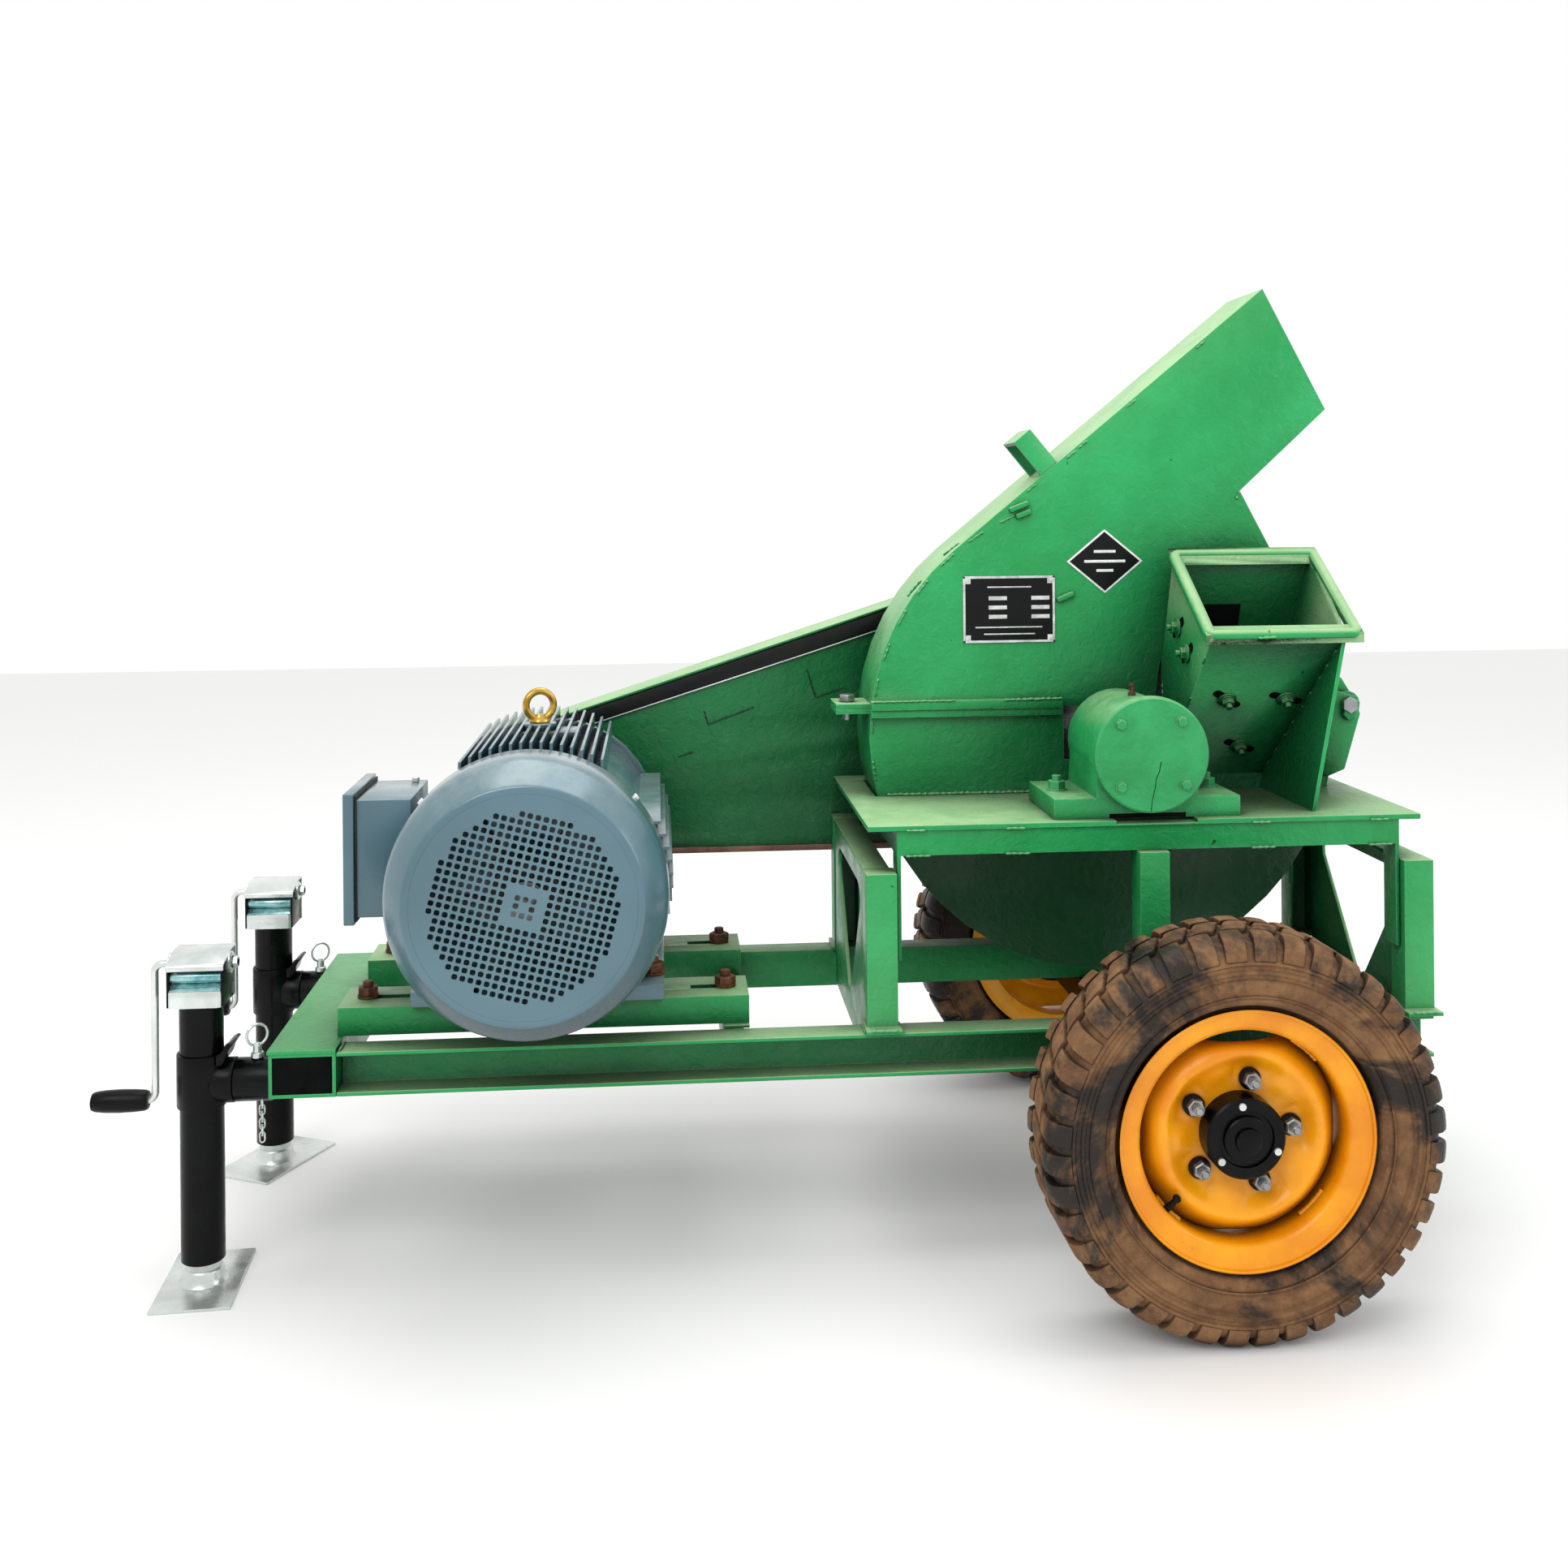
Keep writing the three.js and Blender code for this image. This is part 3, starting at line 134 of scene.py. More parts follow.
def make_camera():
    data = bpy.data.cameras.new("camera")
    data.sensor_width = 36
    data.lens = 36.89
    data.shift_y = -0.174
    camera = add_object("camera", data)
    camera.location = (-0.175, -2.549, 1.084)
    aim = Matrix.Rotation(radians(-4.505), 4, "Z") @ Matrix.Rotation(pi / 2, 4, "X")
    roll = Matrix.Rotation(radians(-0.5), 4, "Z")
    camera.rotation_euler = (aim @ roll).to_euler()
    bpy.context.scene.camera = camera


def area_light(name, place, target, size, power):
    data = bpy.data.lights.new(name, "AREA")
    data.shape = "RECTANGLE"
    data.size, data.size_y = size
    data.energy = power
    light = add_object(name, data)
    light.location = place
    light.rotation_euler = (Vector(target) - Vector(place)).to_track_quat("-Z", "Y").to_euler()


def make_stage():
    world = bpy.data.worlds.new("studio")
    world.use_nodes = True
    set_inputs(world.node_tree.nodes["Background"], {"Color": (1.0, 1.0, 1.0, 1.0), "Strength": 1.0})
    bpy.context.scene.world = world
    bpy.context.scene.view_settings.view_transform = "Standard"
    area_light("key", (-1.6, -3.2, 3.6), (0.1, 0, 0.6), (2.6, 2.0), 62)
    area_light("top", (0.2, 0.3, 4.2), (0.1, 0, 0.5), (3.4, 2.4), 60)
    area_light("side", (3.6, -1.0, 2.0), (0.3, 0, 0.7), (1.6, 1.6), 16)
    mesh = bpy.data.meshes.new("floor")
    half = 9.0
    corners = [(-half, -half, 0), (half, -half, 0), (half, half, 0), (-half, half, 0)]
    mesh.from_pydata(corners, [], [(0, 1, 2, 3)])
    floor = add_object("floor", mesh)
    mat = bpy.data.materials.new("floor_pale")
    mat.use_nodes = True
    pale = {"Base Color": (0.86, 0.86, 0.85, 1), "Roughness": 0.75}
    set_inputs(mat.node_tree.nodes["Principled BSDF"], pale)
    mesh.materials.append(mat)


# --- materials

class Nodes:
    """Short calls for adding shader nodes to one material."""

    def __init__(self, name):
        self.mat = bpy.data.materials.new(name)
        self.mat.use_nodes = True
        self.tree = self.mat.node_tree
        self.shader = self.tree.nodes["Principled BSDF"]
        self.coord = self.tree.nodes.new("ShaderNodeTexCoord")

    def link(self, source, socket):
        """Feeds a socket with a number, a hex colour or another socket."""
        if isinstance(source, str):
            socket.default_value = rgb(source)
        elif isinstance(source, (int, float)):
            socket.default_value = source
        else:
            self.tree.links.new(source, socket)

    def node(self, kind, **values):
        """A new node, with values on its inputs."""
        n = self.tree.nodes.new("ShaderNode" + kind)
        set_inputs(n, {key.replace("_", " "): value for key, value in values.items()})
        return n

    def noise(self, scale, detail=4, rough=0.6, distortion=0.0):
        n = self.node("TexNoise", Scale=scale, Detail=detail, Roughness=rough, Distortion=distortion)
        self.link(self.coord.outputs["Object"], n.inputs["Vector"])
        return n.outputs["Fac"]

    def ranged(self, value, low, high, to_low=0.0, to_high=1.0):
        n = self.node("MapRange", From_Min=low, From_Max=high, To_Min=to_low, To_Max=to_high)
        n.interpolation_type = "SMOOTHSTEP"
        self.link(value, n.inputs["Value"])
        return n.outputs["Result"]

    def patches(self, noise, *limits):
        """Soft-edged patches: the arguments of a noise, then the range that it is spread over."""
        return self.ranged(self.noise(*noise), *limits)

    def math(self, kind, a, b):
        n = self.node("Math")
        n.operation = kind
        self.link(a, n.inputs[0])
        self.link(b, n.inputs[1])
        return n.outputs["Value"]

    def times(self, a, b):
        return self.math("MULTIPLY", a, b)

    def most(self, a, b):
        return self.math("MAXIMUM", a, b)

    def mix(self, fac, a, b):
        """Mixes two colours, each a hex code or a socket."""
        n = self.node("Mix")
        n.data_type = "RGBA"
        self.link(fac, n.inputs["Factor"])
        self.link(a, n.inputs[6])
        self.link(b, n.inputs[7])
        return n.outputs[2]

    def over(self, fac, layer):
        """Lays another colour over the material's colour so far."""
        self.color = self.mix(fac, self.color, layer)

    def upward(self, kind):
        """The Z part of the surface's normal or of its place."""
        split = self.node("SeparateXYZ")
        self.link(self.coord.outputs[kind], split.inputs["Vector"])
        return split.outputs["Z"]

    def facing_up(self, low, high):
        """How far the surface faces up, in the piece's own frame."""
        return self.ranged(self.upward("Normal"), low, high)

    def underside(self, low=-0.75, high=-0.2):
        """1 where the surface faces down, 0 where it faces out or up."""
        return self.math("SUBTRACT", 1.0, self.facing_up(low, high))

    def below(self, low, high):
        """1 below a height in metres, 0 above it."""
        return self.ranged(self.upward("Object"), low, high, 1.0, 0.0)

    def edges(self, radius):
        """1 near sharp edges, 0 on flat faces."""
        bevel = self.node("Bevel", Radius=radius)
        bevel.samples = 4
        dot = self.node("VectorMath")
        dot.operation = "DOT_PRODUCT"
        self.link(bevel.outputs["Normal"], dot.inputs[0])
        self.link(self.node("NewGeometry").outputs["Normal"], dot.inputs[1])
        return self.ranged(self.math("SUBTRACT", 1.0, dot.outputs["Value"]), 0.02, 0.25)

    def sheltered(self, reach, low, high, strength):
        """Its strength in corners and covered places within reach, 0 out in the open."""
        n = self.node("AmbientOcclusion", Distance=reach)
        n.samples = 5
        return self.times(self.ranged(n.outputs["AO"], low, high, 1.0, 0.0), strength)

    def bump(self, *layers):
        """Stacks (noise arguments, distance in metres, strength) layers of bump on the shader."""
        last = None
        for noise, distance, strength in layers:
            n = self.node("Bump", Distance=distance, Strength=strength)
            self.link(self.noise(*noise), n.inputs["Height"])
            if last:
                self.link(last, n.inputs["Normal"])
            last = n.outputs["Normal"]
        self.link(last, self.shader.inputs["Normal"])

    def finish(self, rough, metal=0.0, coat=0.0, specular=0.5):
        self.link(self.color, self.shader.inputs["Base Color"])
        self.link(rough, self.shader.inputs["Roughness"])
        gloss = {"Coat Weight": coat, "Coat Roughness": 0.12, "Specular IOR Level": specular}
        set_inputs(self.shader, {"Metallic": metal, **gloss})
        return self.mat


def green_paint(name="green_enamel", dust_and_highlight_share=1.0, shade_top=None, dark="189049", light="24A55C"):
    """Brushed enamel: pale tops that are partly dust and partly painted highlight, painted shade below and in
    covered places, chips, and edges lightened partly by wear and partly by painted highlight.
    """
    n = Nodes(name)
    n.color = n.mix(n.patches((4.5, 5, 0.62), 0.3, 0.72), dark, light)
    streak = n.patches((38, 3, 0.7, 1.2), 0.56, 0.75, 0.0, 0.22)
    n.over(streak, "40B56E")
    # Pale tops: partly dust, partly painted highlight on upward faces.
    cover = n.patches((11, 5, 0.7), 0.2, 0.7, 0.6 * dust_and_highlight_share, 0.97 * dust_and_highlight_share)
    dust_and_highlight = n.times(n.facing_up(0.1, 0.8), cover)
    n.over(dust_and_highlight, "A3C592")
    # Lighter edges: partly wear, partly painted highlight.
    edge_wear_and_highlight = n.times(n.edges(0.003), n.patches((26, 4, 0.7), 0.35, 0.62, 0.05, 0.7))
    n.over(edge_wear_and_highlight, "7CCB94")
    chip = n.patches((52, 2, 0.5, 0.6), 0.765, 0.79)
    n.over(chip, "15402A")
    shade = n.sheltered(0.4, 0.3, 0.82, 0.8)
    shade = n.most(shade, n.times(n.underside(), 0.93))
    # Painted shadow: darker below a given height, where the table shades the housing.
    if shade_top:
        shade = n.most(shade, n.times(n.below(shade_top - 0.06, shade_top), 0.86))
    n.over(shade, "052012")
    rough = n.patches((22, 3, 0.6), 0.3, 0.75, 0.3, 0.48)
    rough = n.math("ADD", rough, n.times(dust_and_highlight, 0.2))
    n.bump(((62, 4, 0.62, 0.9), 0.0046, 0.55), ((300, 3, 0.6), 0.0004, 0.3), ((9, 2, 0.5), 0.006, 0.22))
    return n.finish(rough, coat=0.1, specular=0.3)


def motor_paint():
    n = Nodes("blue_grey_enamel")
    n.color = n.mix(n.patches((4, 3, 0.5), 0.35, 0.7), "4A6872", "547480")
    # Pale tops: partly dust, partly painted highlight.
    dust_and_highlight = n.times(n.facing_up(0.3, 0.95), n.patches((14, 5, 0.7), 0.3, 0.7, 0.1, 0.55))
    n.over(dust_and_highlight, "9DABA9")
    shade = n.sheltered(0.07, 0.25, 0.8, 0.85)
    shade = n.most(shade, n.times(n.underside(-0.9, -0.1), 0.62))
    n.over(shade, "101A1F")
    n.bump(((220, 3, 0.6), 0.00015, 0.3), ((7, 2, 0.5), 0.002, 0.08))
    return n.finish(n.patches((12, 3, 0.6), 0.3, 0.75, 0.2, 0.3), metal=0.1, coat=0.3)


def rim_paint():
    n = Nodes("orange_enamel")
    n.color = n.mix(n.patches((9, 4, 0.6), 0.35, 0.7), "DF8705", "F2A20C")
    grime = n.patches((17, 5, 0.75, 0.5), 0.6, 0.8, 0.0, 0.4)
    n.over(grime, "9C500C")
    shade = n.sheltered(0.035, 0.15, 0.65, 0.75)
    n.over(shade, "4A1A04")
    n.bump(((55, 3, 0.6, 0.6), 0.0014, 0.35), ((14, 2, 0.5), 0.005, 0.3))
    return n.finish(n.patches((30, 3, 0.6), 0.3, 0.75, 0.24, 0.42), coat=0.2, specular=0.3)


def tyre_rubber():
    n = Nodes("muddy_rubber")
    black = n.mix(n.noise(40, 3), "0F0E0D", "221F1D")
    brown = n.mix(n.patches((16, 5, 0.7), 0.3, 0.7), "63452F", "8B6746")
    mud = n.patches((4.6, 6, 0.66, 0.6), 0.425, 0.545, 0.05, 0.95)
    n.color = n.mix(mud, black, brown)
    pale = n.times(mud, n.patches((60, 4, 0.7), 0.5, 0.8, 0.0, 0.4))
    n.over(pale, "A78358")
    shade = n.sheltered(0.03, 0.25, 0.85, 0.85)
    n.over(shade, "0C0906")
    rough = n.ranged(mud, 0.0, 1.0, 0.42, 0.88)
    n.bump(((210, 5, 0.7), 0.0014, 0.55), ((34, 4, 0.7), 0.0045, 0.5))
    return n.finish(rough, specular=0.25)


def plain_surface(name, dark, light, rough, scale=12, grain=180, depth=0.0004, gloss=0.5, **coating):
    """Mottled colour, uneven gloss and fine grain."""
    n = Nodes(name)
    n.color = n.mix(n.patches((scale, 5, 0.65, 0.4), 0.32, 0.7), dark, light)
    uneven = n.patches((scale * 2.3, 4, 0.7), 0.3, 0.75, max(0.05, rough - 0.1), rough + 0.12)
    n.bump(((grain, 4, 0.65), depth, 0.45), ((scale, 2, 0.5), depth * 5, 0.2))
    return n.finish(uneven, specular=gloss, **coating)


def cast_green():
    n = Nodes("green_on_casting")
    broad = n.patches((12, 5, 0.7, 0.5), 0.3, 0.72)
    n.color = n.mix(broad, "1A8F4A", "2AA65F")
    # Pale tops: partly dust, partly painted highlight.
    dust_and_highlight = n.times(n.facing_up(0.3, 0.9), n.patches((20, 5, 0.7), 0.3, 0.7, 0.3, 0.9))
    n.over(dust_and_highlight, "93BE8B")
    # Lighter edges: partly wear, partly painted highlight.
    edge_wear_and_highlight = n.times(n.edges(0.003), n.patches((30, 4, 0.7), 0.35, 0.6, 0.1, 0.7))
    n.over(edge_wear_and_highlight, "78C48F")
    shade = n.sheltered(0.12, 0.25, 0.8, 0.8)
    n.over(shade, "082816")
    n.bump(((48, 5, 0.75, 1.4), 0.004, 0.6), ((260, 3, 0.6), 0.0005, 0.4))
    return n.finish(n.patches((26, 3, 0.6), 0.3, 0.75, 0.32, 0.55), coat=0.12, specular=0.4)


MATERIALS = {
    "green_paint": green_paint(),
    # Fewer pale tops: less dust and less painted highlight.
    "green_clean": green_paint("green_enamel_fewer_pale_tops", dust_and_highlight_share=0.3),
    # Painted shadow: the lower housing is darker below 0.618 m, under the table.
    "green_lower": green_paint("green_enamel_lower", shade_top=0.618),
    # Painted shade: a darker copy of the green for the belt guard, which lies in shade.
    "green_guard": green_paint("green_enamel_guard", dark="12733A", light="1A8347"),
    "green_shaded": plain_surface(
        "green_shaded", "07331B", "0D4626", 0.45, grain=90, depth=0.0008, gloss=0.25,
    ),
    "cast_green": cast_green(),
    "motor_paint": motor_paint(),
    "rim_paint": rim_paint(),
    "tyre_rubber": tyre_rubber(),
    "black_paint": plain_surface("black_gloss", "030304", "08090B", 0.28, coat=0.03, gloss=0.12),
    "grip_plastic": plain_surface("grip_black", "030304", "080809", 0.34, grain=320, gloss=0.15),
    "zinc_plate": plain_surface(
        "zinc", "C2C8C5", "E2E7E4", 0.27, metal=0.7, scale=7, grain=260, depth=0.00008,
    ),
    "zinc_teal": plain_surface("zinc_tinted", "4F9196", "A9CFCF", 0.2, metal=0.8, scale=30),
    "bare_steel": plain_surface(
        "steel", "85888A", "A2A5A6", 0.34, metal=0.9, scale=14, grain=300, depth=0.0002,
    ),
    "cast_iron": plain_surface("casting", "3B3C3D", "5B5D5F", 0.55, metal=0.6, grain=90, depth=0.001),
    "yellow_zinc": plain_surface("yellow_passivated", "A8812F", "D9B560", 0.28, metal=0.85, scale=40),
    "belt_rubber": plain_surface("belt_cloth", "141415", "242426", 0.75, grain=500, depth=0.0006),
    "fan_plastic": plain_surface("fan_black", "1A1D20", "2B2F32", 0.5),
    "rust_brown": plain_surface(
        "rusty_bolt", "3B2318", "7A4A2E", 0.62, metal=0.35, scale=60, grain=240, depth=0.001,
    ),
    "label_black": plain_surface("label_black", "040405", "09090B", 0.4, gloss=0.2),
    "label_silver": plain_surface("label_silver", "B9BDBD", "E3E6E5", 0.3, metal=0.6, scale=50),
    "label_white": plain_surface("label_white", "D3D6D5", "F1F2F0", 0.4, scale=50),
    # Painted shade: near-black for slots, gaps and open ends, standing for the shade inside them.
    "dark_inside": plain_surface("dark_inside", "020303", "060707", 0.8, gloss=0.1),
    # Painted shade: near-black for the shade under the guard's roof edge.
    "black_band": plain_surface("black_band", "050706", "0E1410", 0.45, grain=90, depth=0.0008, gloss=0.25),
    "primer_red": plain_surface("primer_red", "5E3A2E", "8A6250", 0.55, grain=120, depth=0.0008),
}


# --- mesh building

AXES = {
    "X": Matrix(((0, 0, 1, 0), (1, 0, 0, 0), (0, 1, 0, 0), (0, 0, 0, 1))),
    "Y": Matrix(((0, 1, 0, 0), (0, 0, 1, 0), (1, 0, 0, 0), (0, 0, 0, 1))),
    "Z": Matrix.Identity(4),
}


ORDER = {"X": (2, 0, 1), "Y": (0, 2, 1), "Z": (0, 1, 2)}


def round_edges(bm, width, segments, angle):
    """Bevels every edge that turns by more than an angle in degrees."""
    sharp = [e for e in bm.edges if e.calc_face_angle(0) > radians(angle)]
    bmesh.ops.bevel(
        bm, geom=sharp, offset=width, segments=segments, affect="EDGES", profile=0.5, clamp_overlap=True,
    )


class Build:
    """One mesh put together from shapes; all sizes are millimetres."""

    def __init__(self):
        self.bm = bmesh.new()

    def take(self, part, matrix=None):
        mesh = bpy.data.meshes.new("shape")
        part.to_mesh(mesh)
        part.free()
        return self.take_mesh(mesh, matrix)

    def take_mesh(self, mesh, matrix=None):
        if matrix is not None:
            mesh.transform(matrix)
        self.bm.from_mesh(mesh)
        bpy.data.meshes.remove(mesh)
        return self

    def solid(self, verts, faces, bevel=0.0, segments=2, matrix=None, angle=25):
        part = bmesh.new()
        made = [part.verts.new(v) for v in verts]
        for f in faces:
            part.faces.new([made[i] for i in f])
        bmesh.ops.recalc_face_normals(part, faces=part.faces)
        if bevel:
            round_edges(part, bevel, segments, angle)
        return self.take(part, matrix)

    def box(self, x0, x1, y0, y1, z0, z1, bevel=1.2, matrix=None):
        corners = [(x, y, z) for x in (x0, x1) for y in (y0, y1) for z in (z0, z1)]
        faces = [(0, 1, 3, 2), (4, 6, 7, 5), (0, 4, 5, 1), (2, 3, 7, 6), (0, 2, 6, 4), (1, 5, 7, 3)]
        return self.solid(corners, faces, bevel, matrix=matrix)

    def prism(self, outline, t0, t1, axis="Y", bevel=1.0, matrix=None):
        """An outline pushed along an axis: [x, z] points for Y, [y, z] for X, [x, y] for Z."""
        n = len(outline)
        verts = [tuple((*p, t)[i] for i in ORDER[axis]) for t in (t0, t1) for p in outline]
        faces = [tuple(range(n)), tuple(range(n, 2 * n))]
        faces += [(i, (i + 1) % n, (i + 1) % n + n, i + n) for i in range(n)]
        return self.solid(verts, faces, bevel, matrix=matrix)

    def lathe(self, profile, centre, axis="Y", count=64, closed=True, spin=0.0):
        """Turns [radius, along] points about an axis through centre."""
        verts, rings = [], []
        for r, t in profile:
            if r < 1e-6:
                rings.append([len(verts)])
                verts.append((0, 0, t))
                continue
            rings.append(list(range(len(verts), len(verts) + count)))
            verts += [(r * cos(a), r * sin(a), t) for a in turns(count)]
        faces = []
        for a, b in zip(rings, rings[1:] + rings[:1] if closed else rings[1:]):
            for k in range(count):
                quad = [a[k % len(a)], a[(k + 1) % len(a)], b[(k + 1) % len(b)], b[k % len(b)]]
                face = list(dict.fromkeys(quad))
                if len(face) > 2:
                    faces.append(face)
        turn = Matrix.Translation(centre) @ AXES[axis] @ Matrix.Rotation(spin, 4, "Z")
        return self.solid(verts, faces, matrix=turn)

    def rod(self, r, axis, centre, t0, t1, count=32, bevel=1.0):
        b = min(bevel, r * 0.4, abs(t1 - t0) * 0.4)
        low, high = sorted((t0, t1))
        rim = [(0, low), (r - b, low), (r - b * 0.3, low + b * 0.3), (r, low + b)]
        top = [(r, high - b), (r - b * 0.3, high - b * 0.3), (r - b, high), (0, high)]
        return self.lathe(rim + top, centre, axis, count, closed=False)

    def hexagon(self, across, axis, centre, t0, t1, spin=0.0):
        """A nut or bolt head with its chamfered top and bottom."""
        r = across / sqrt(3)
        b = across * 0.08
        low, high = sorted((t0, t1))
        rim = [(0, low), (r - b, low), (r, low + b * 0.6)]
        top = [(r, high - b * 0.6), (r - b, high), (0, high)]
        return self.lathe(rim + top, centre, axis, 6, False, spin)

    def tube(self, path, r, count=12, radius_at=None, closed=False):
        """A round bar along a path of points; the radius may vary along it."""
        points = [Vector(p) for p in path]
        n = len(points)
        normal = None
        verts = []
        for i, p in enumerate(points):
            if closed:
                ahead, back = points[(i + 1) % n], points[i - 1]
            else:
                ahead, back = points[min(i + 1, n - 1)], points[max(i - 1, 0)]
            d = (ahead - back).normalized()
            if normal is None:
                normal = d.orthogonal().normalized()
            normal = (normal - d * normal.dot(d)).normalized()
            side = d.cross(normal)
            rr = radius_at(i / (n - 1)) if radius_at else r
            verts += [p + (normal * cos(a) + side * sin(a)) * rr for a in turns(count)]
        faces = ring_faces(n, count, closed=closed)
        if not closed:
            faces += [tuple(range(count)), tuple(range((n - 1) * count, n * count))]
        return self.solid([tuple(v) for v in verts], faces)

    def bead(self, start, end, r=2.6, seed=1):
        """A hand-laid weld bead between two points, with its ripples."""
        rng = random.Random(seed)
        a, b = Vector(start), Vector(end)
        steps = max(4, int((b - a).length / 3))
        path, sizes = [], []
        for i in range(steps + 1):
            jitter = Vector([rng.uniform(-0.35, 0.35) for _ in range(3)])
            path.append(a.lerp(b, i / steps) + jitter)
            sizes.append(r * (0.72 + 0.28 * sin(i * 1.9) + rng.uniform(-0.12, 0.12)))
        sizes[0] = sizes[-1] = r * 0.4
        return self.tube(path, r, 8, lambda t: sizes[round(t * steps)])


SLOT_FOR = {
    "cast_green": "green_paint", "green_shaded": "green_paint",
    "dark_inside": "black_paint", "label_black": "black_paint", "black_band": "black_paint",
    "label_silver": "zinc_plate", "label_white": "zinc_plate", "zinc_teal": "zinc_plate",
    "rust_brown": "bare_steel", "primer_red": "bare_steel",
}


def piece(name, build, material, body="frame", nodes=(), angle=32, slot=None, scale=MM):
    """Turns a build into a named object that rides on a CAD body."""
    mesh = bpy.data.meshes.new(name)
    build.bm.to_mesh(mesh)
    build.bm.free()
    if scale != 1:
        mesh.transform(Matrix.Scale(scale, 4))
    mesh.polygons.foreach_set("use_smooth", [True] * len(mesh.polygons))
    mesh.set_sharp_from_angle(angle=radians(angle))
    mesh.materials.append(MATERIALS[material])
    obj = add_object(name, mesh)
    slot = slot or SLOT_FOR.get(material, material)
    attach(obj, body)
    if nodes:
        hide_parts(*nodes)


SLOT_OF = {m["node"]: m["material_slot"] for m in frame["record"]["subparts"]}
BODY_OF = {n: b for b, ns in frame["record"]["behaviour"]["bodies"].items() for n in ns}


def refined(node, material, bevel, weld=0.02):
    """The CAD solid with its triangles merged into faces and its edges rounded off."""
    build = Build()
    build.bm.from_mesh(frame["nodes"][node].data)
    bm = build.bm
    bmesh.ops.remove_doubles(bm, verts=bm.verts, dist=weld * MM)
    bmesh.ops.dissolve_limit(bm, angle_limit=radians(0.4), verts=bm.verts, edges=bm.edges)
    round_edges(bm, bevel * MM, 2, 32)
    slot = SLOT_OF[node]
    piece(node + "_shell", build, material or slot, BODY_OF[node], (node,), slot=slot, scale=1)


make_camera()
make_stage()


# --- plain structure

ROUND_PARTS = ("tyre", "rim", "hub", "jack", "fan_cowl", "lifting_eye", "bearing_cover_near", "belt_band")
SOFT_EDGES = {
    "motor_frame": 0.8, "motor_fan": 0.8, "cutter_disc": 0.8, "motor_rail_near": 1.6, "motor_rail_far": 1.6,
}
FINISH = {
    "bearing_near": "cast_green",
    "bearing_far": "cast_green",
    "lower_housing": "green_lower",
    "belt_guard": "green_guard",
    "front_cross_beam": "green_clean",
}
SLIVERED = ("lower_housing", "upper_cover", "hopper")

for node in sorted(frame["nodes"]):
    if not node.startswith(ROUND_PARTS):
        weld = 0.6 if node in SLIVERED else 0.02
        refined(node, FINISH.get(node), SOFT_EDGES.get(node, 1.3), weld=weld)
refined("belt_band", None, 0.6)


# --- road wheels

def tread_block(build, side, angle0, angle1, section, taper=0.0):
    """One tread block: an [r, out] outline swept round the wheel between two angles."""
    slices = 5
    verts = []
    n = len(section)
    radii = [r for r, _ in section]
    low_r, high_r = min(radii), max(radii)
    for i in range(slices):
        t = i / (slices - 1)
        a = angle0 + (angle1 - angle0) * t
        end = 1.0 if i in (0, slices - 1) else 0.0
        for r, out in section:
            lift = (r - low_r) / (high_r - low_r)
            a_in = a + (0.006 * lift if i == 0 else -0.006 * lift if i == slices - 1 else 0)
            rr = r - 0.9 * end * lift
            skew = taper * (out - section[0][1])
            x, z = around(WHEEL, rr, a_in + skew)
            verts.append((x, side * (WHEEL_Y + out), z))
    faces = ring_faces(slices, n) + [tuple(range(n)), tuple(range((slices - 1) * n, slices * n))]
    build.solid(verts, faces, 0.9, 1, angle=40)


def make_tyre(label, side):
    carcass = [
        (158, -42), (171, -46.5), (175, -50), (177, -57), (181, -62), (183, -64.5), (186, -65), (188, -64.2),
        (197, -66.8), (208, -68.3), (218, -68), (220, -69.8), (223.5, -70), (225, -67.6), (230, -66.8),
        (231.5, -68.6), (235, -68.2), (236.5, -65.5), (240, -64), (248, -60),
        (255, -50), (258.5, -30), (259, 0),
    ]
    profile = carcass + sided(reversed(carcass[:-1]), -1)
    build = Build()
    centre = (WHEEL[0], side * WHEEL_Y, WHEEL[1])
    build.lathe(sided(profile, side), centre, "Y", 144)
    shoulder = [
        (250, 30), (266.6, 25), (266.8, 44), (263.5, 54), (256, 62), (246, 66.5), (237, 68.9), (235, 66),
        (246, 56),
    ]
    pitch = 2 * pi / 40
    for i in range(40):
        for flip in (1, -1):
            a = (i + (0.5 if flip < 0 else 0)) * pitch
            tread_block(build, side, a, a + pitch * 0.75, sided(shoulder, flip), 0.0005 * flip)
    middle = [(255, -20), (266.8, -18), (266.8, 1), (255, 3)]
    for i in range(40):
        a = (i + 0.3) * pitch
        tread_block(build, side, a, a + pitch * 0.84, middle, 0.0022)
        tread_block(build, side, a + pitch / 2, a + pitch * 1.34, sided(middle, -1), 0.0022)
    for r, out in ((190, 69.0), (213, 69.6)):
        build.lathe(sided([(r - 1.5, 67), (r, out), (r + 1.5, 67)], side), centre, "Y", 144)
    piece(f"tyre_{label}_rubber", build, "tyre_rubber", f"wheel_{label}", (f"tyre_{label}",), 38)


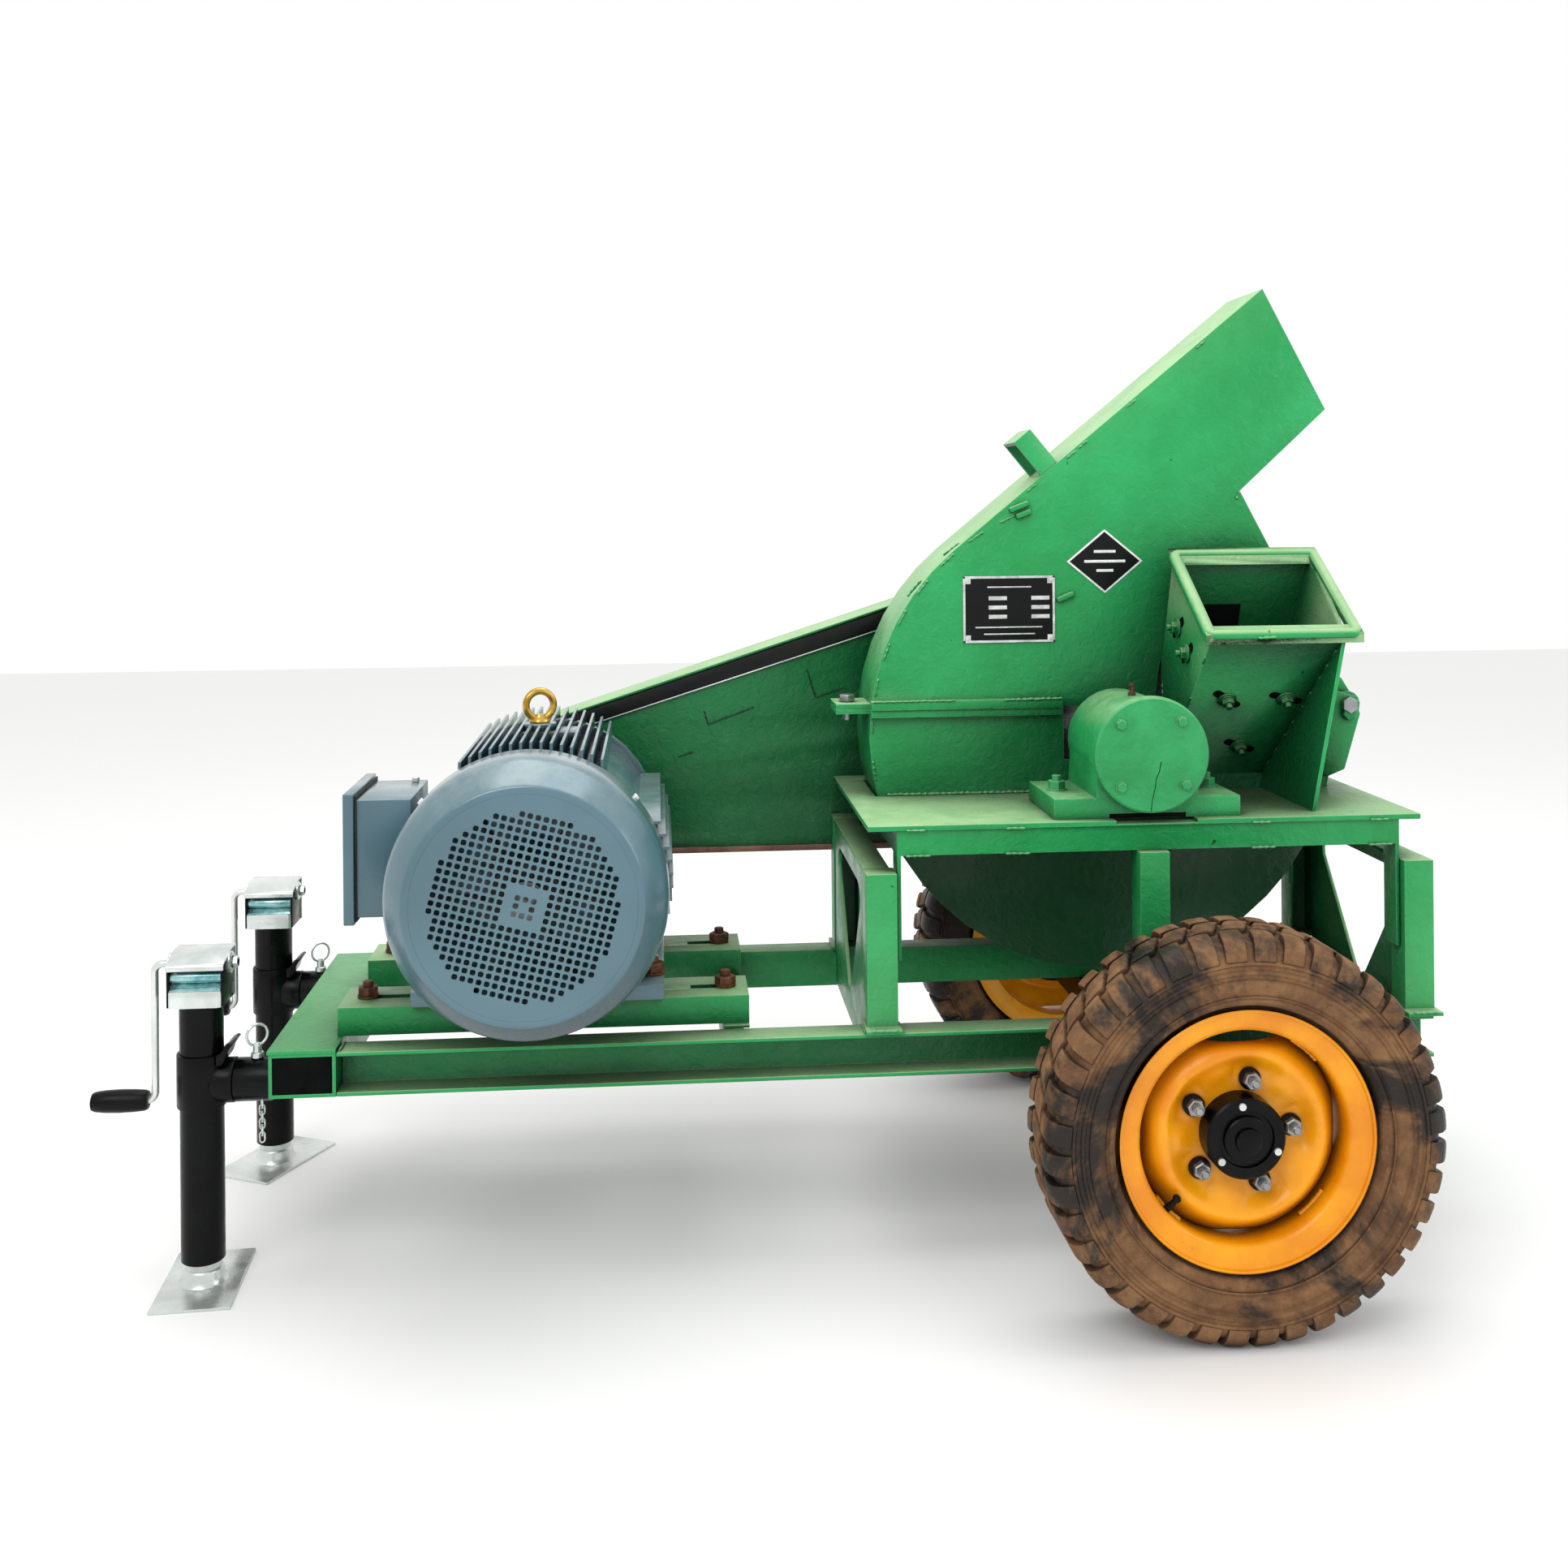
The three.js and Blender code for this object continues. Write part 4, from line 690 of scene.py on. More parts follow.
def make_rim(label, side):
    centre = (WHEEL[0], side * WHEEL_Y, WHEEL[1])
    body = f"wheel_{label}"
    build = Build()
    barrel = [
        (170, 55), (168.4, 56), (166.6, 55), (165.5, 51), (162, 49), (153, 47), (146, 45.5), (140.5, 42),
        (138.5, 36), (138, 0), (138, -46), (150, -52), (166, -56), (170, -55), (170, -49), (156, -44),
        (145, -32), (143, 0), (143.5, 25), (147, 38), (156, 43), (168, 47.5),
    ]
    build.lathe(sided(barrel, side), centre, "Y", 120)
    chords = ((0, 117), (-pi / 2, 128), (pi / 2, 133), (pi, 134))

    def edge(a):
        reach = 137.6
        for at, distance in chords:
            c = cos(a - at)
            if c > 0.5:
                reach = min(reach, distance / c)
        return reach

    def relief(a, r):
        """How far out the pressed disc stands at a radius and an angle."""
        lobe = cos(5 * (pi / 2 - a - LUG_PHASE))
        ring = 19 * exp(-((r - 107) / 15) ** 2)
        fall = -9 * max(0.0, (r - 118) / 19) ** 1.5
        ribs = 9 * max(0.0, -lobe) ** 0.7 * exp(-((r - 84) / 15) ** 2)
        pocket = -5 * max(0.0, lobe) * exp(-((r - 88) / 11) ** 2)
        return 15 + ring + fall + ribs + pocket

    verts = []
    rings, count = 22, 150
    hub_r = 48
    for thick in (0, -6.5):
        for i in range(rings + 1):
            t = i / rings
            roll = -5 * max(0.0, t - 0.93) / 0.07
            for a in turns(count):
                r = hub_r + (edge(a) - hub_r) * t
                verts.append((r * cos(a), r * sin(a), side * (relief(a, r) + roll + thick)))
    layer = (rings + 1) * count
    faces = ring_faces(rings + 1, count) + ring_faces(rings + 1, count, layer)
    for first in (0, rings * count):
        for k in range(count):
            here, ahead = first + k, first + (k + 1) % count
            faces.append((here, ahead, layer + ahead, layer + here))
    build.solid(verts, faces, matrix=Matrix.Translation(centre) @ AXES["Y"])
    for at in (0.7, 2.36, 3.93, 5.5):
        a0, a1 = at - 0.16, at + 0.16
        path = [
            (WHEEL[0] + 138 * sin(a), side * (WHEEL_Y + 18), WHEEL[1] + 138 * cos(a))
            for a in [a0 + (a1 - a0) * i / 24 for i in range(25)]
        ]
        rng = random.Random(int(at * 100))
        sizes = [3.2 + rng.uniform(-0.5, 0.5) for _ in path]
        build.tube(path, 3.0, 8, lambda t: sizes[round(t * 24)])
    piece(f"rim_{label}_steel", build, "rim_paint", body, (f"rim_{label}",), 40)
    valve = Build()
    a = radians(222)
    foot, tip = around(WHEEL, 140, a), around(WHEEL, 118, a - 0.05)
    y = side * (WHEEL_Y + 30)
    middle = ((foot[0] + tip[0]) / 2, y + side * 7, (foot[1] + tip[1]) / 2)
    path = [(foot[0], y, foot[1]), middle, (tip[0], y + side * 12, tip[1])]
    valve.tube(path, 4, 12, lambda t: 5.5 - 2.2 * t)
    valve.rod(5, "Y", (tip[0], 0, tip[1]), y + side * 8, y + side * 15, 12, 1)
    piece(f"valve_{label}", valve, "grip_plastic", body, slot="black_paint")


def make_hub(label, side):
    centre = (WHEEL[0], side * WHEEL_Y, WHEEL[1])
    body = f"wheel_{label}"
    build = Build()
    face = [
        (0, 57.6), (15, 57.6), (17, 56.5), (17.5, 52), (29, 51.4), (30.5, 50), (31, 44), (36, 43.5),
        (37, 46.5), (50, 47), (52.5, 44.5), (53, 8.2), (84, 8.2), (86, 7.4), (86, -5), (84, -6), (46, -6.4),
        (46, -80), (43, -82), (20, -82), (20, 30), (0, 30),
    ]
    build.lathe(sided(face, side), centre, "Y", 64, closed=False)
    piece(f"hub_{label}_body", build, "black_paint", body, (f"hub_{label}",), 35)
    screws = Build()
    y = side * (WHEEL_Y + 46)
    for i in range(3):
        x, z = around(WHEEL, 43.5, radians(98 + 120 * i))
        screws.rod(5, "Y", (x, 0, z), y, y + side * 4.5, 20, 1.2)
        ends = sorted((y, y + side * 5))
        screws.box(x - 3.6, x + 3.6, *ends, z - 0.5, z + 0.5, 0.2)
    piece(f"hub_screws_{label}", screws, "zinc_plate", body)
    nuts, washers = Build(), Build()
    stud = [(0, 42), (4.2, 42), (6.2, 39.5), (6.2, 28), (0, 28)]
    y = side * WHEEL_Y
    for i in range(5):
        x, z = around(WHEEL, 70, i * 2 * pi / 5 + LUG_PHASE)
        at = (x, 0, z)
        washers.rod(14.5, "Y", at, y + side * 12, y + side * 20.5, 28, 1.5)
        nuts.hexagon(20.5, "Y", at, y + side * 20, y + side * 31, 0.35 * i)
        nuts.lathe(sided(stud, side), (x, y, z), "Y", 20, closed=False)
        for k in range(5):
            nuts.rod(6.7, "Y", at, y + side * (32 + k * 1.8), y + side * (32.9 + k * 1.8), 20, 0.4)
    piece(f"lug_nuts_{label}", nuts, "bare_steel", body)
    piece(f"lug_washers_{label}", washers, "black_paint", body)


for label, side in SIDES:
    make_tyre(label, side)
    make_rim(label, side)
    make_hub(label, side)


# --- motor

def flat_sheet(outlines, thick, bevel):
    """A flat plate with holes from closed outlines of [x, y] points, as a mesh in millimetres."""
    data = bpy.data.curves.new("sheet", "CURVE")
    data.dimensions = "2D"
    data.fill_mode = "BOTH"
    data.extrude = thick / 2 - bevel
    data.bevel_depth = bevel
    data.bevel_resolution = 1
    data.offset = -bevel
    for outline in outlines:
        spline = data.splines.new("POLY")
        spline.points.add(len(outline) - 1)
        for p, (x, y) in zip(spline.points, outline):
            p.co = (x, y, 0, 1)
        spline.use_cyclic_u = True
    obj = add_object("sheet", data)
    mesh = evaluated_mesh(obj)
    bpy.data.objects.remove(obj)
    bpy.data.curves.remove(data)
    return mesh


def make_cowl():
    build = Build()
    centre = (MOTOR[0], 0, MOTOR[1])
    shell = [
        (149, -440), (156.4, -439.6), (158.4, -438.4), (160.4, -436.2), (172, -421), (183, -405.5),
        (187, -398.5), (189.3, -390), (190, -382), (190, -326), (189, -323), (187.5, -322), (186.6, -323),
        (186.6, -330), (170.4, -330), (170.2, -327), (170.4, -332), (187, -333), (187, -380), (184, -395),
        (170, -418), (158, -434), (152, -436.6), (148, -437),
    ]
    build.lathe(shell, centre, "Y", 144)
    turn = radians(-15)
    pitch, half, reach, corner = 10.7, 3.6, 125, 1.6
    outlines = [[(150 * cos(a), 150 * sin(a)) for a in turns(120)]]
    for i in range(-12, 13):
        for j in range(-12, 13):
            ring = max(abs(i), abs(j))
            if hypot(i, j) * pitch > reach or ring in (0, 2):
                continue
            corners = []
            for sx, sy in ((1, 1), (-1, 1), (-1, -1), (1, -1)):
                for dx, dy in (((0, 1), (1, 0)) if sx * sy < 0 else ((1, 0), (0, 1))):
                    x = i * pitch + sx * (half - corner * dy)
                    y = j * pitch + sy * (half - corner * dx)
                    corners.append((x * cos(turn) - y * sin(turn), x * sin(turn) + y * cos(turn)))
            outlines.append(corners)
    mesh = flat_sheet(outlines, 2.4, 0.35)
    place = Matrix.Translation((MOTOR[0], -438.4, MOTOR[1])) @ Matrix.Rotation(pi / 2, 4, "X")
    build.take_mesh(mesh, place)
    piece("fan_cowl_shell", build, "motor_paint", "frame", ("fan_cowl",), 30)
    screws = Build()
    for a in (40, 140, 220, 320):
        x, z = around(MOTOR, 190, radians(a))
        head = Build().rod(5, "X", (0, 0, 0), -4, 3.4, 20, 1)
        screws.take(head.bm, Matrix.Translation((x, -333, z)) @ Matrix.Rotation(-radians(a), 4, "Y"))
    piece("cowl_screws", screws, "zinc_plate")


def make_motor_details():
    eye = Build()
    x, y = MOTOR[0] - 2, -95
    eye.tube(standing_ring(x, y, 794, 21, 0.3, 48), 5.4, 14, closed=True)
    foot = [(0, 768), (15, 768), (16, 770), (15, 773), (9, 776), (7, 780), (0, 780)]
    eye.lathe(foot, (x, y, 0), "Z", 32, closed=False)
    piece("lifting_eye_ring", eye, "yellow_zinc", "frame", ("lifting_eye",))
    pad = Build()
    pad.rod(25, "Z", (x, y, 0), 740, 767.5, 36, 2)
    pad.box(MOTOR[0] - 34, MOTOR[0] + 58, -128, -62, 735, 757, 5)
    piece("eye_pad", pad, "motor_paint")
    box = Build()
    low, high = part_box("terminal_box")
    x0, y0, y1, z1 = low.x / MM, low.y / MM, high.y / MM, high.z / MM
    box.box(x0 + 15.5, x0 + 18.5, y0 + 4, y1 - 4, 509, z1 - 4, 0.8)
    piece("terminal_gasket", box, "belt_rubber")
    bolts = Build()
    for y in (y0 + 12, y1 - 12):
        for z in (517, z1 - 12):
            bolts.hexagon(9, "X", (0, y, z), x0 + 0.2, x0 + 3)
    bolts.hexagon(10, "Z", (MOTOR[0] - 190, -80, 0), 680, 686)
    piece("terminal_bolts", bolts, "zinc_plate")
    feet = Build()
    for side in (-1, 1):
        for y in (-145, 100):
            x = MOTOR[0] + side * 166
            feet.rod(18, "Z", (x, y, 0), 397, 400.6, 28, 0.8)
            feet.hexagon(30, "Z", (x, y, 0), 400, 414, 0.3)
            feet.rod(8.2, "Z", (x, y, 0), 410, 421, 20, 1)
    piece("motor_foot_bolts", feet, "rust_brown")


make_cowl()
make_motor_details()


# --- jacks

def pierced(build, drill):
    """The build with the drill's shape cut out of it."""
    made = []
    for part in (build, drill):
        mesh = bpy.data.meshes.new("cut")
        part.bm.to_mesh(mesh)
        part.bm.free()
        made.append(add_object("cut", mesh))
    work = made[0].modifiers.new("cut", "BOOLEAN")
    work.operation = "DIFFERENCE"
    work.solver = "EXACT"
    work.object = made[1]
    mesh = evaluated_mesh(made[0])
    for obj in made:
        bpy.data.objects.remove(obj)
    return Build().take_mesh(mesh)


def make_jack(label, side):
    jx, y = JACK_X, side * JACK_Y
    body = f"jack_{label}"

    def moving(part, kind, build, material, angle=32):
        """A moving part of the jack, whose body and CAD node share a name."""
        node = f"jack_{part}_{label}"
        piece(f"{node}_{kind}", build, material, node, (node,), angle)

    tube = Build()
    wall = [(30, 35), (30, 395), (29, 396), (27, 396), (26, 395), (26, 35), (27, 34), (29, 34)]
    tube.lathe(wall, (jx, y, 0), "Z", 64)
    saddle = [
        (31, 251), (33.4, 251.6), (34, 253), (34, 325), (33.4, 326.4), (31, 327), (29.6, 326), (29.6, 252),
    ]
    tube.lathe(saddle, (jx, y, 0), "Z", 64)
    tube.rod(31, "X", (0, y, PIPE_Z), jx + 18, -777, 48, 1.5)
    tube.rod(24.6, "X", (0, y, PIPE_Z), -778, -731, 40, 1)
    for z in (260, 310):
        tube.bead((jx + 31, y - 18, z), (jx + 31, y + 18, z), 2.4, int(z))
    ear = [
        (26, 312), (34, 314), (38, 320), (41, 330), (46, 338), (49, 341), (45, 343), (38, 339), (33, 331),
        (26, 327),
    ]
    tube.prism([(jx + a, z) for a, z in ear], y - 26, y + 26, "Y", 1.4)
    piece(f"jack_tube_{label}_black", tube, "black_paint", body, (f"jack_tube_{label}",))

    head = Build()
    band = [(-33, -31), (-28, -35.6), (28, -35.6), (33, -31), (33, 31), (28, 35.6), (-28, 35.6), (-33, 31)]
    head.prism([(jx + 1.16 * a, y + b) for a, b in band], 396.6, 421, "Z", 2.2)
    hood = [
        (-35.6, 449), (-35.8, 455), (-33, 458.5), (4, 469), (12, 469.8), (33, 469.8), (35.8, 466),
        (35.8, 397), (33, 397), (33, 464), (31, 466.6), (11, 466.6), (4, 465.8), (-31, 455.6), (-33, 453),
        (-33, 449),
    ]
    head.prism([(y + b, z) for b, z in hood], jx - 39.8, jx + 39.8, "X", 0.8)
    piece(f"jack_head_{label}_zinc", head, "zinc_plate", body, (f"jack_head_{label}",))
    cheeks = Build()
    cheek = [(-33, 398), (-33, 451), (4, 464.5), (12, 465.8), (32, 465.8), (32, 398)]
    for x0 in (jx - 38.6, jx + 35.6):
        cheeks.prism([(y + b, z) for b, z in cheek], x0, x0 + 3, "X", 0.6)
    piece(f"jack_cheeks_{label}", cheeks, "black_paint", body)
    bar = Build()
    bar.rod(8, "X", (0, y - 22, 438), jx - 35, jx + 35, 32, 1)
    bar.prism([(y - 34.5, 421), (y - 31, 421), (y - 13, 433), (y - 16, 434.5)], jx - 35, jx + 35, "X", 0.6)
    piece(f"jack_gear_bar_{label}", bar, "zinc_teal", body)
    boss = Build()
    collar = [(9, 37), (14, 37), (15, 39), (15, 42.6), (13, 44), (9, 44)]
    for out in (1, -1):
        boss.lathe(sided(collar, out), (jx, y, CRANK_Z), "X", 32)
    piece(f"jack_bushes_{label}", boss, "zinc_plate", body)

    leg = Build()
    shank = [
        (16, 12), (16, 344), (20, 345), (25, 344), (25, 24), (27, 22.5), (28, 20), (29, 12), (33, 5),
        (34, 3.8), (16, 3.8),
    ]
    leg.lathe(shank, (jx, y, 0), "Z", 56)
    spin = Matrix.Translation((jx, y, 0)) @ Matrix.Rotation(0.05 if side < 0 else -0.45, 4, "Z")
    leg.box(-54.4, 54.4, -89.8, 89.8, 0.05, 4, 0.9, spin)
    moving("leg", "zinc", leg, "zinc_plate")

    crank = Build()
    top = [(jx + 52, CRANK_Z), (-870, CRANK_Z)] + arc_points(-877, 440, 12, 90, 180, 8)
    low = [(-889, 400), (-889, 282)] + arc_points(-901, 272, 12, 0, -90, 8)[1:]
    low += [(-930, GRIP_Z), (-966, GRIP_Z)]
    crank.tube([(x, y, z) for x, z in top + low], 5.4, 16)
    crank.hexagon(15, "X", (0, y, CRANK_Z), jx + 45.5, jx + 52)
    moving("crank", "rod", crank, "zinc_plate", 40)

    grip = Build()
    profile = [
        (6, -898), (10, -898), (12.4, -899), (14.2, -903), (15.4, -918), (16, -938), (15.4, -957),
        (14, -970), (12, -975.4), (9, -976.6), (0, -976.9), (0, -968), (6, -967),
    ]
    grip.lathe(profile, (0, y, GRIP_Z), "X", 40)
    moving("grip", "plastic", grip, "grip_plastic")

    sleeve, drill = Build(), Build()
    sleeve.lathe([(27, -776), (29.5, -776), (30, -775), (30, -726), (27, -726)], (0, y, PIPE_Z), "X", 56)
    drill.rod(6.6, "Z", (PIN_X, y, 0), 290, 330, 24, 0.5)
    piece(f"pipe_sleeve_{label}", pierced(sleeve, drill), "black_paint")

    pin = Build()
    pin.rod(6, "Z", (PIN_X, y, 0), 311, 334, 24, 0.8)
    pin.lathe([(6, 315.4), (8, 315.4), (9, 316.2), (9, 322), (8, 323), (6, 323)], (PIN_X, y, 0), "Z", 28)
    pin.rod(4, "Z", (PIN_X, y, 0), 333, 336, 16, 0.8)
    pin.tube(standing_ring(PIN_X, y, 347, 15, 0.6, 40), 1.9, 10, closed=True)
    moving("pin", "zinc", pin, "zinc_plate")


for label, side in SIDES:
    make_jack(label, side)

chain = Build()
for i in range(6):
    top = 256 - i * 9.6
    turn = 0.4 if i % 2 else 0.4 + pi / 2
    link = []
    for a in turns(20):
        across, up = 3.6 * cos(a), 4.4 * sin(a) + (3 if sin(a) > 0 else -3)
        link.append((-738 + across * cos(turn), -232 + across * sin(turn), top + up))
    chain.tube(link, 1.15, 8, closed=True)
piece("pin_chain", chain, "zinc_plate")


# --- housing details

def make_plates():
    back, trim, rivets = Build(), Build(), Build()
    x0, x1, z0, z1, y = 316, 467, 868, 976, COVER_Y
    back.box(x0 + 3, x1 - 3, y - 1.3, y - 0.2, z0 + 3, z1 - 3, 0.2)
    border = ((x0, x1, z0, z0 + 4), (x0, x1, z1 - 4, z1), (x0, x0 + 4, z0, z1), (x1 - 4, x1, z0, z1))
    for a, b, c, d in border:
        trim.box(a, b, y - 1.9, y - 0.2, c, d, 0.5)
    for x in (x0 + 6.5, x1 - 6.5):
        for z in (z0 + 6.5, z1 - 6.5):
            corner = [(x - 6, z - 6), (x + 6, z - 6), (x + 6, z + 6), (x - 6, z + 6)]
            trim.prism(corner, y - 1.7, y - 0.2, "Y", 0.3)
            rivets.rod(3.2, "Y", (x, 0, z), y - 3.4, y - 1.2, 20, 1.2)
    for z in (940, 925, 910):
        for a in (x0 + 42, x0 + 112):
            trim.box(a, a + 30, y - 1.7, y - 0.6, z - 3.2, z + 3.2, 0.3)
    for z, a, b in ((958, 40, 112), (893, 20, 130), (882, 34, 118)):
        trim.box(x0 + a, x0 + b, y - 1.6, y - 0.6, z - 1.1, z + 1.1, 0.3)
    piece("nameplate_back", back, "label_black", "upper_cover")
    piece("nameplate_trim", trim, "label_silver", "upper_cover")
    piece("nameplate_rivets", rivets, "zinc_plate", "upper_cover")
    cx, cz, hx, hz = 550, 998, 63, 52

    def diamond(s):
        wide = s * 1.25
        return [(cx - hx + wide, cz), (cx, cz - hz + s), (cx + hx - wide, cz), (cx, cz + hz - s)]

    white, black, bars = Build(), Build(), Build()
    white.prism(diamond(0), y - 0.9, y - 0.2, "Y", 0.15)
    black.prism(diamond(4), y - 1.3, y - 0.5, "Y", 0.15)
    for z, half in ((1014, 18), (998, 34), (983, 14)):
        bars.box(cx - half, cx + half, y - 1.6, y - 1.0, z - 2.2, z + 2.2, 0.2)
    piece("placard_border", white, "label_white", "upper_cover")
    piece("placard_face", black, "label_black", "upper_cover")
    piece("placard_bars", bars, "label_white", "upper_cover")


def drum_bead(build, angles, reach, ys, r, seed):
    """A weld bead round the drum between two angles in degrees."""
    (x0, z0), (x1, z1) = [around(ROTOR, reach, radians(a)) for a in angles]
    build.bead((x0, ys[0], z0), (x1, ys[1], z1), r, seed)


def make_cover_details():
    cover = Build()
    for cx, cz, tilt, length in ((484, 941, 22, 30), (409, 1088, 22, 34), (416, 1076, 22, 26)):
        turn = Matrix.Translation((cx, 15, cz)) @ Matrix.Rotation(-radians(tilt), 4, "Y")
        cover.box(-length / 2, length / 2, -4, 4, -4.5, 4.5, 2.5, turn)
    for i, angle in enumerate(range(112, 176, 9)):
        drum_bead(cover, (angle, angle + 4.5), 381, (18, 18), 2.4, i)
        if i % 2:
            drum_bead(cover, (angle, angle + 4.5), 381, (180, 180), 2.4, i + 50)
    rng = random.Random(5)
    for angle in (101, 118, 127, 140):
        drum_bead(cover, (angle, angle + rng.uniform(3, 5)), 386, (40, 52), 3.0, angle)
    along = (cos(radians(39.4)), sin(radians(39.4)))
    tip = (818, 1442)
    for i, back in enumerate((430, 404, 515, 300, 150)):
        a = (tip[0] - along[0] * back, tip[1] - along[1] * back)
        b = (a[0] + along[0] * 20, a[1] + along[1] * 20)
        cover.bead((a[0] + 3, 18, a[1] - 3), (b[0] + 3, 18, b[1] - 3), 2.2, 30 + i)
    cover.bead((777, 18, 1111), (770, 18, 1096), 2.5, 41)
    cover.bead((166, 1.5, 777), (300, 1.5, 777.5), 2.0, 42)
    cover.bead((380, 1.5, 777), (474, 1.5, 778), 2.6, 43)
    cover.bead((110.5, 40, 771), (110.5, 110, 771), 1.6, 44)
    piece("cover_welds", cover, "green_paint", "upper_cover")
    lower = Build()
    for i, angles in enumerate(((186, 191), (199, 204), (336, 341), (348, 353))):
        drum_bead(lower, angles, 382, (18, 18), 2.4, 60 + i)
    lower.bead((190, 18, 625.5), (430, 18, 625.5), 3.2, 65)
    lower.bead((820, 180.5, 625.5), (900, 180.5, 625.5), 3.0, 66)
    lower.bead((200, 180.5, 625.5), (820, 180.5, 625.5), 3.0, 67)
    piece("housing_welds", lower, "green_paint")
    bracket = Build()
    outline = [(889, 663), (918, 640), (948, 652), (975, 742), (966, 772), (900, 792)]
    bracket.prism(outline, 12.5, 17.7, "Y", 1.2)
    piece("hinge_bracket", bracket, "green_paint")
    piece("bracket_bolt", Build().hexagon(22, "Y", (955, 0, 745), 4, 12.6, 0.3), "green_paint")


make_plates()
make_cover_details()


# --- hopper details

def slotted_bolt(build, dark, place, slot_turn):
    """Washer, nut and stud over a slotted hole; place maps z to the wall's outward normal."""
    washer = Build()
    washer.rod(15, "Z", (0, 0, 0), 0.5, 3.4, 36, 0.9)
    washer.rod(11, "Z", (0, 0, 0), 2.9, 4.6, 28, 0.6)
    washer.hexagon(17, "Z", (0, 0, 0), 4, 12, 0.2)
    washer.rod(5, "Z", (0, 0, 0), 10, 19, 18, 0.8)
    # Painted shade: a thin dark slot shape stands for the shade seen in the slotted hole.
    hole = Build()
    ends = arc_points(23, 0, 7, -90, 90, 8) + arc_points(-23, 0, 7, 90, 270, 8)
    hole.prism(ends, 0.1, 0.9, "Z", 0, Matrix.Rotation(slot_turn, 4, "Z"))
    build.take(washer.bm, place)
    dark.take(hole.bm, place)


def make_hopper_details():
    bolts, slots = Build(), Build()
    slope = atan2(235, 232.7)
    down = Vector((0, -sin(slope), -cos(slope)))
    for x, y, turn in ((702, -120, 0.9), (796, -120, 1.2), (752, -36, 1.1)):
        z = 891 - (y + 215) * 235 / 232.7 - 8
        face = Matrix.Translation((x, y, z)) @ down.to_track_quat("Z", "X").to_matrix().to_4x4()
        slotted_bolt(bolts, slots, face, turn)
    left = Vector((-1, 0, 0)).to_track_quat("Z", "Y").to_matrix().to_4x4()
    for y, z, turn in ((-67, 895, 0.5), (-109, 858, 0.5)):
        slotted_bolt(bolts, slots, Matrix.Translation((644, y, z)) @ left, turn)
    piece("hopper_bolts", bolts, "green_paint")
    piece("hopper_slots", slots, "dark_inside")
    welds = Build()

    def at(s):
        """A point down the corner of the hopper, s from 0 at its mouth to 1."""
        y, z = -215 + 232.7 * s, 891 - 235 * s - 9
        return 812 + (z - 624) / 386 * 60 - 6.5, y, z

    for i, t in enumerate((0.06, 0.16, 0.25, 0.36, 0.46, 0.58, 0.68, 0.8, 0.9)):
        welds.bead(at(t), at(t + 0.045), 2.3, 80 + i)
    for i, t in enumerate((0.1, 0.4, 0.7)):
        y = -215 + 232.7 * t
        welds.bead((644, y, 891 - 235 * t - 7), (644, y + 18, 891 - 235 * t - 25), 2.3, 90 + i)
    welds.bead((714, -222, 889), (742, -222, 890), 2.8, 95)
    welds.bead((812, -190, 625.6), (812, 10, 625.6), 2.6, 96)
    welds.bead((643.5, 14, 700), (643.5, 14, 800), 2.4, 97)
    piece("hopper_welds", welds, "green_paint")


def make_hopper_rim():
    rim = Build()
    near, far = (-212.5, 892.5), (-47.5, 1008)
    path = []
    for cx, end, turn in ((651.5, near, 180), (862.5, near, 270), (862.5, far, 0), (651.5, far, 90)):
        for i in range(7):
            a = radians(turn + 15 * i)
            t = end[0] + (8 if end is near else -8) + 8 * sin(a)
            z = near[1] + (t - near[0]) * (far[1] - near[1]) / (far[0] - near[0])
            path.append((cx + 8 * cos(a), t, z))
    rim.tube(path, 9.2, 18, closed=True)
    piece("hopper_rim_bar", rim, "green_paint")
    # Painted shade: a dark panel on the hopper's rear slope stands for the shade in the throat opening.
    throat = Build().prism([(-20.2, 928), (6.4, 854), (5.2, 853.4), (-21.6, 927.6)], 656, 762, "X", 0.2)
    piece("throat_dark", throat, "dark_inside")


make_hopper_details()
make_hopper_rim()


# --- bearing details

def make_bearing_cover():
    build = Build()
    cap = [
        (0, -238.6), (70, -239), (82.5, -238.8), (85.4, -236.5), (86, -233), (86, -226), (85, -225),
        (0, -225),
    ]
    build.lathe(cap, (ROTOR[0], 0, ROTOR[1]), "Y", 96, closed=False)
    piece("bearing_cover_plate", build, "cast_green", "frame", ("bearing_cover_near",))
    screws = Build()
    for a in (48, 136, 224, 318):
        x, z = around(ROTOR, 66, radians(a))
        screws.rod(8.5, "Y", (x, 0, z), -239.6, -238, 24, 0.5)
        screws.hexagon(13, "Y", (x, 0, z), -245.6, -239, a)
    piece("bearing_screws", screws, "cast_green")
    crack = Build()
    path = [(-3, -83), (-1, -66), (3, -50), (5, -36), (10, -24), (13, -10)]
    crack.tube([(ROTOR[0] + a, -238.9, ROTOR[1] + b) for a, b in path], 0.5, 6)
    piece("bearing_crack", crack, "dark_inside")
    nipple = Build()
    stem = [(0, 798), (6, 798), (6, 803), (3.5, 805), (3.2, 812), (4.6, 814), (3, 818), (0, 818.6)]
    nipple.lathe(stem, (ROTOR[0] - 4, -150, 0), "Z", 20, closed=False)
    piece("grease_nipple", nipple, "rust_brown")
    # Painted shade: a dark slab stands for the shade in the gap under the bearing.
    gap_shade = Build().box(ROTOR[0] - 57, ROTOR[0] + 57, -212, -60, 624.5, 631, 0.5)
    piece("bearing_gap", gap_shade, "dark_inside")


make_bearing_cover()


# --- frame details

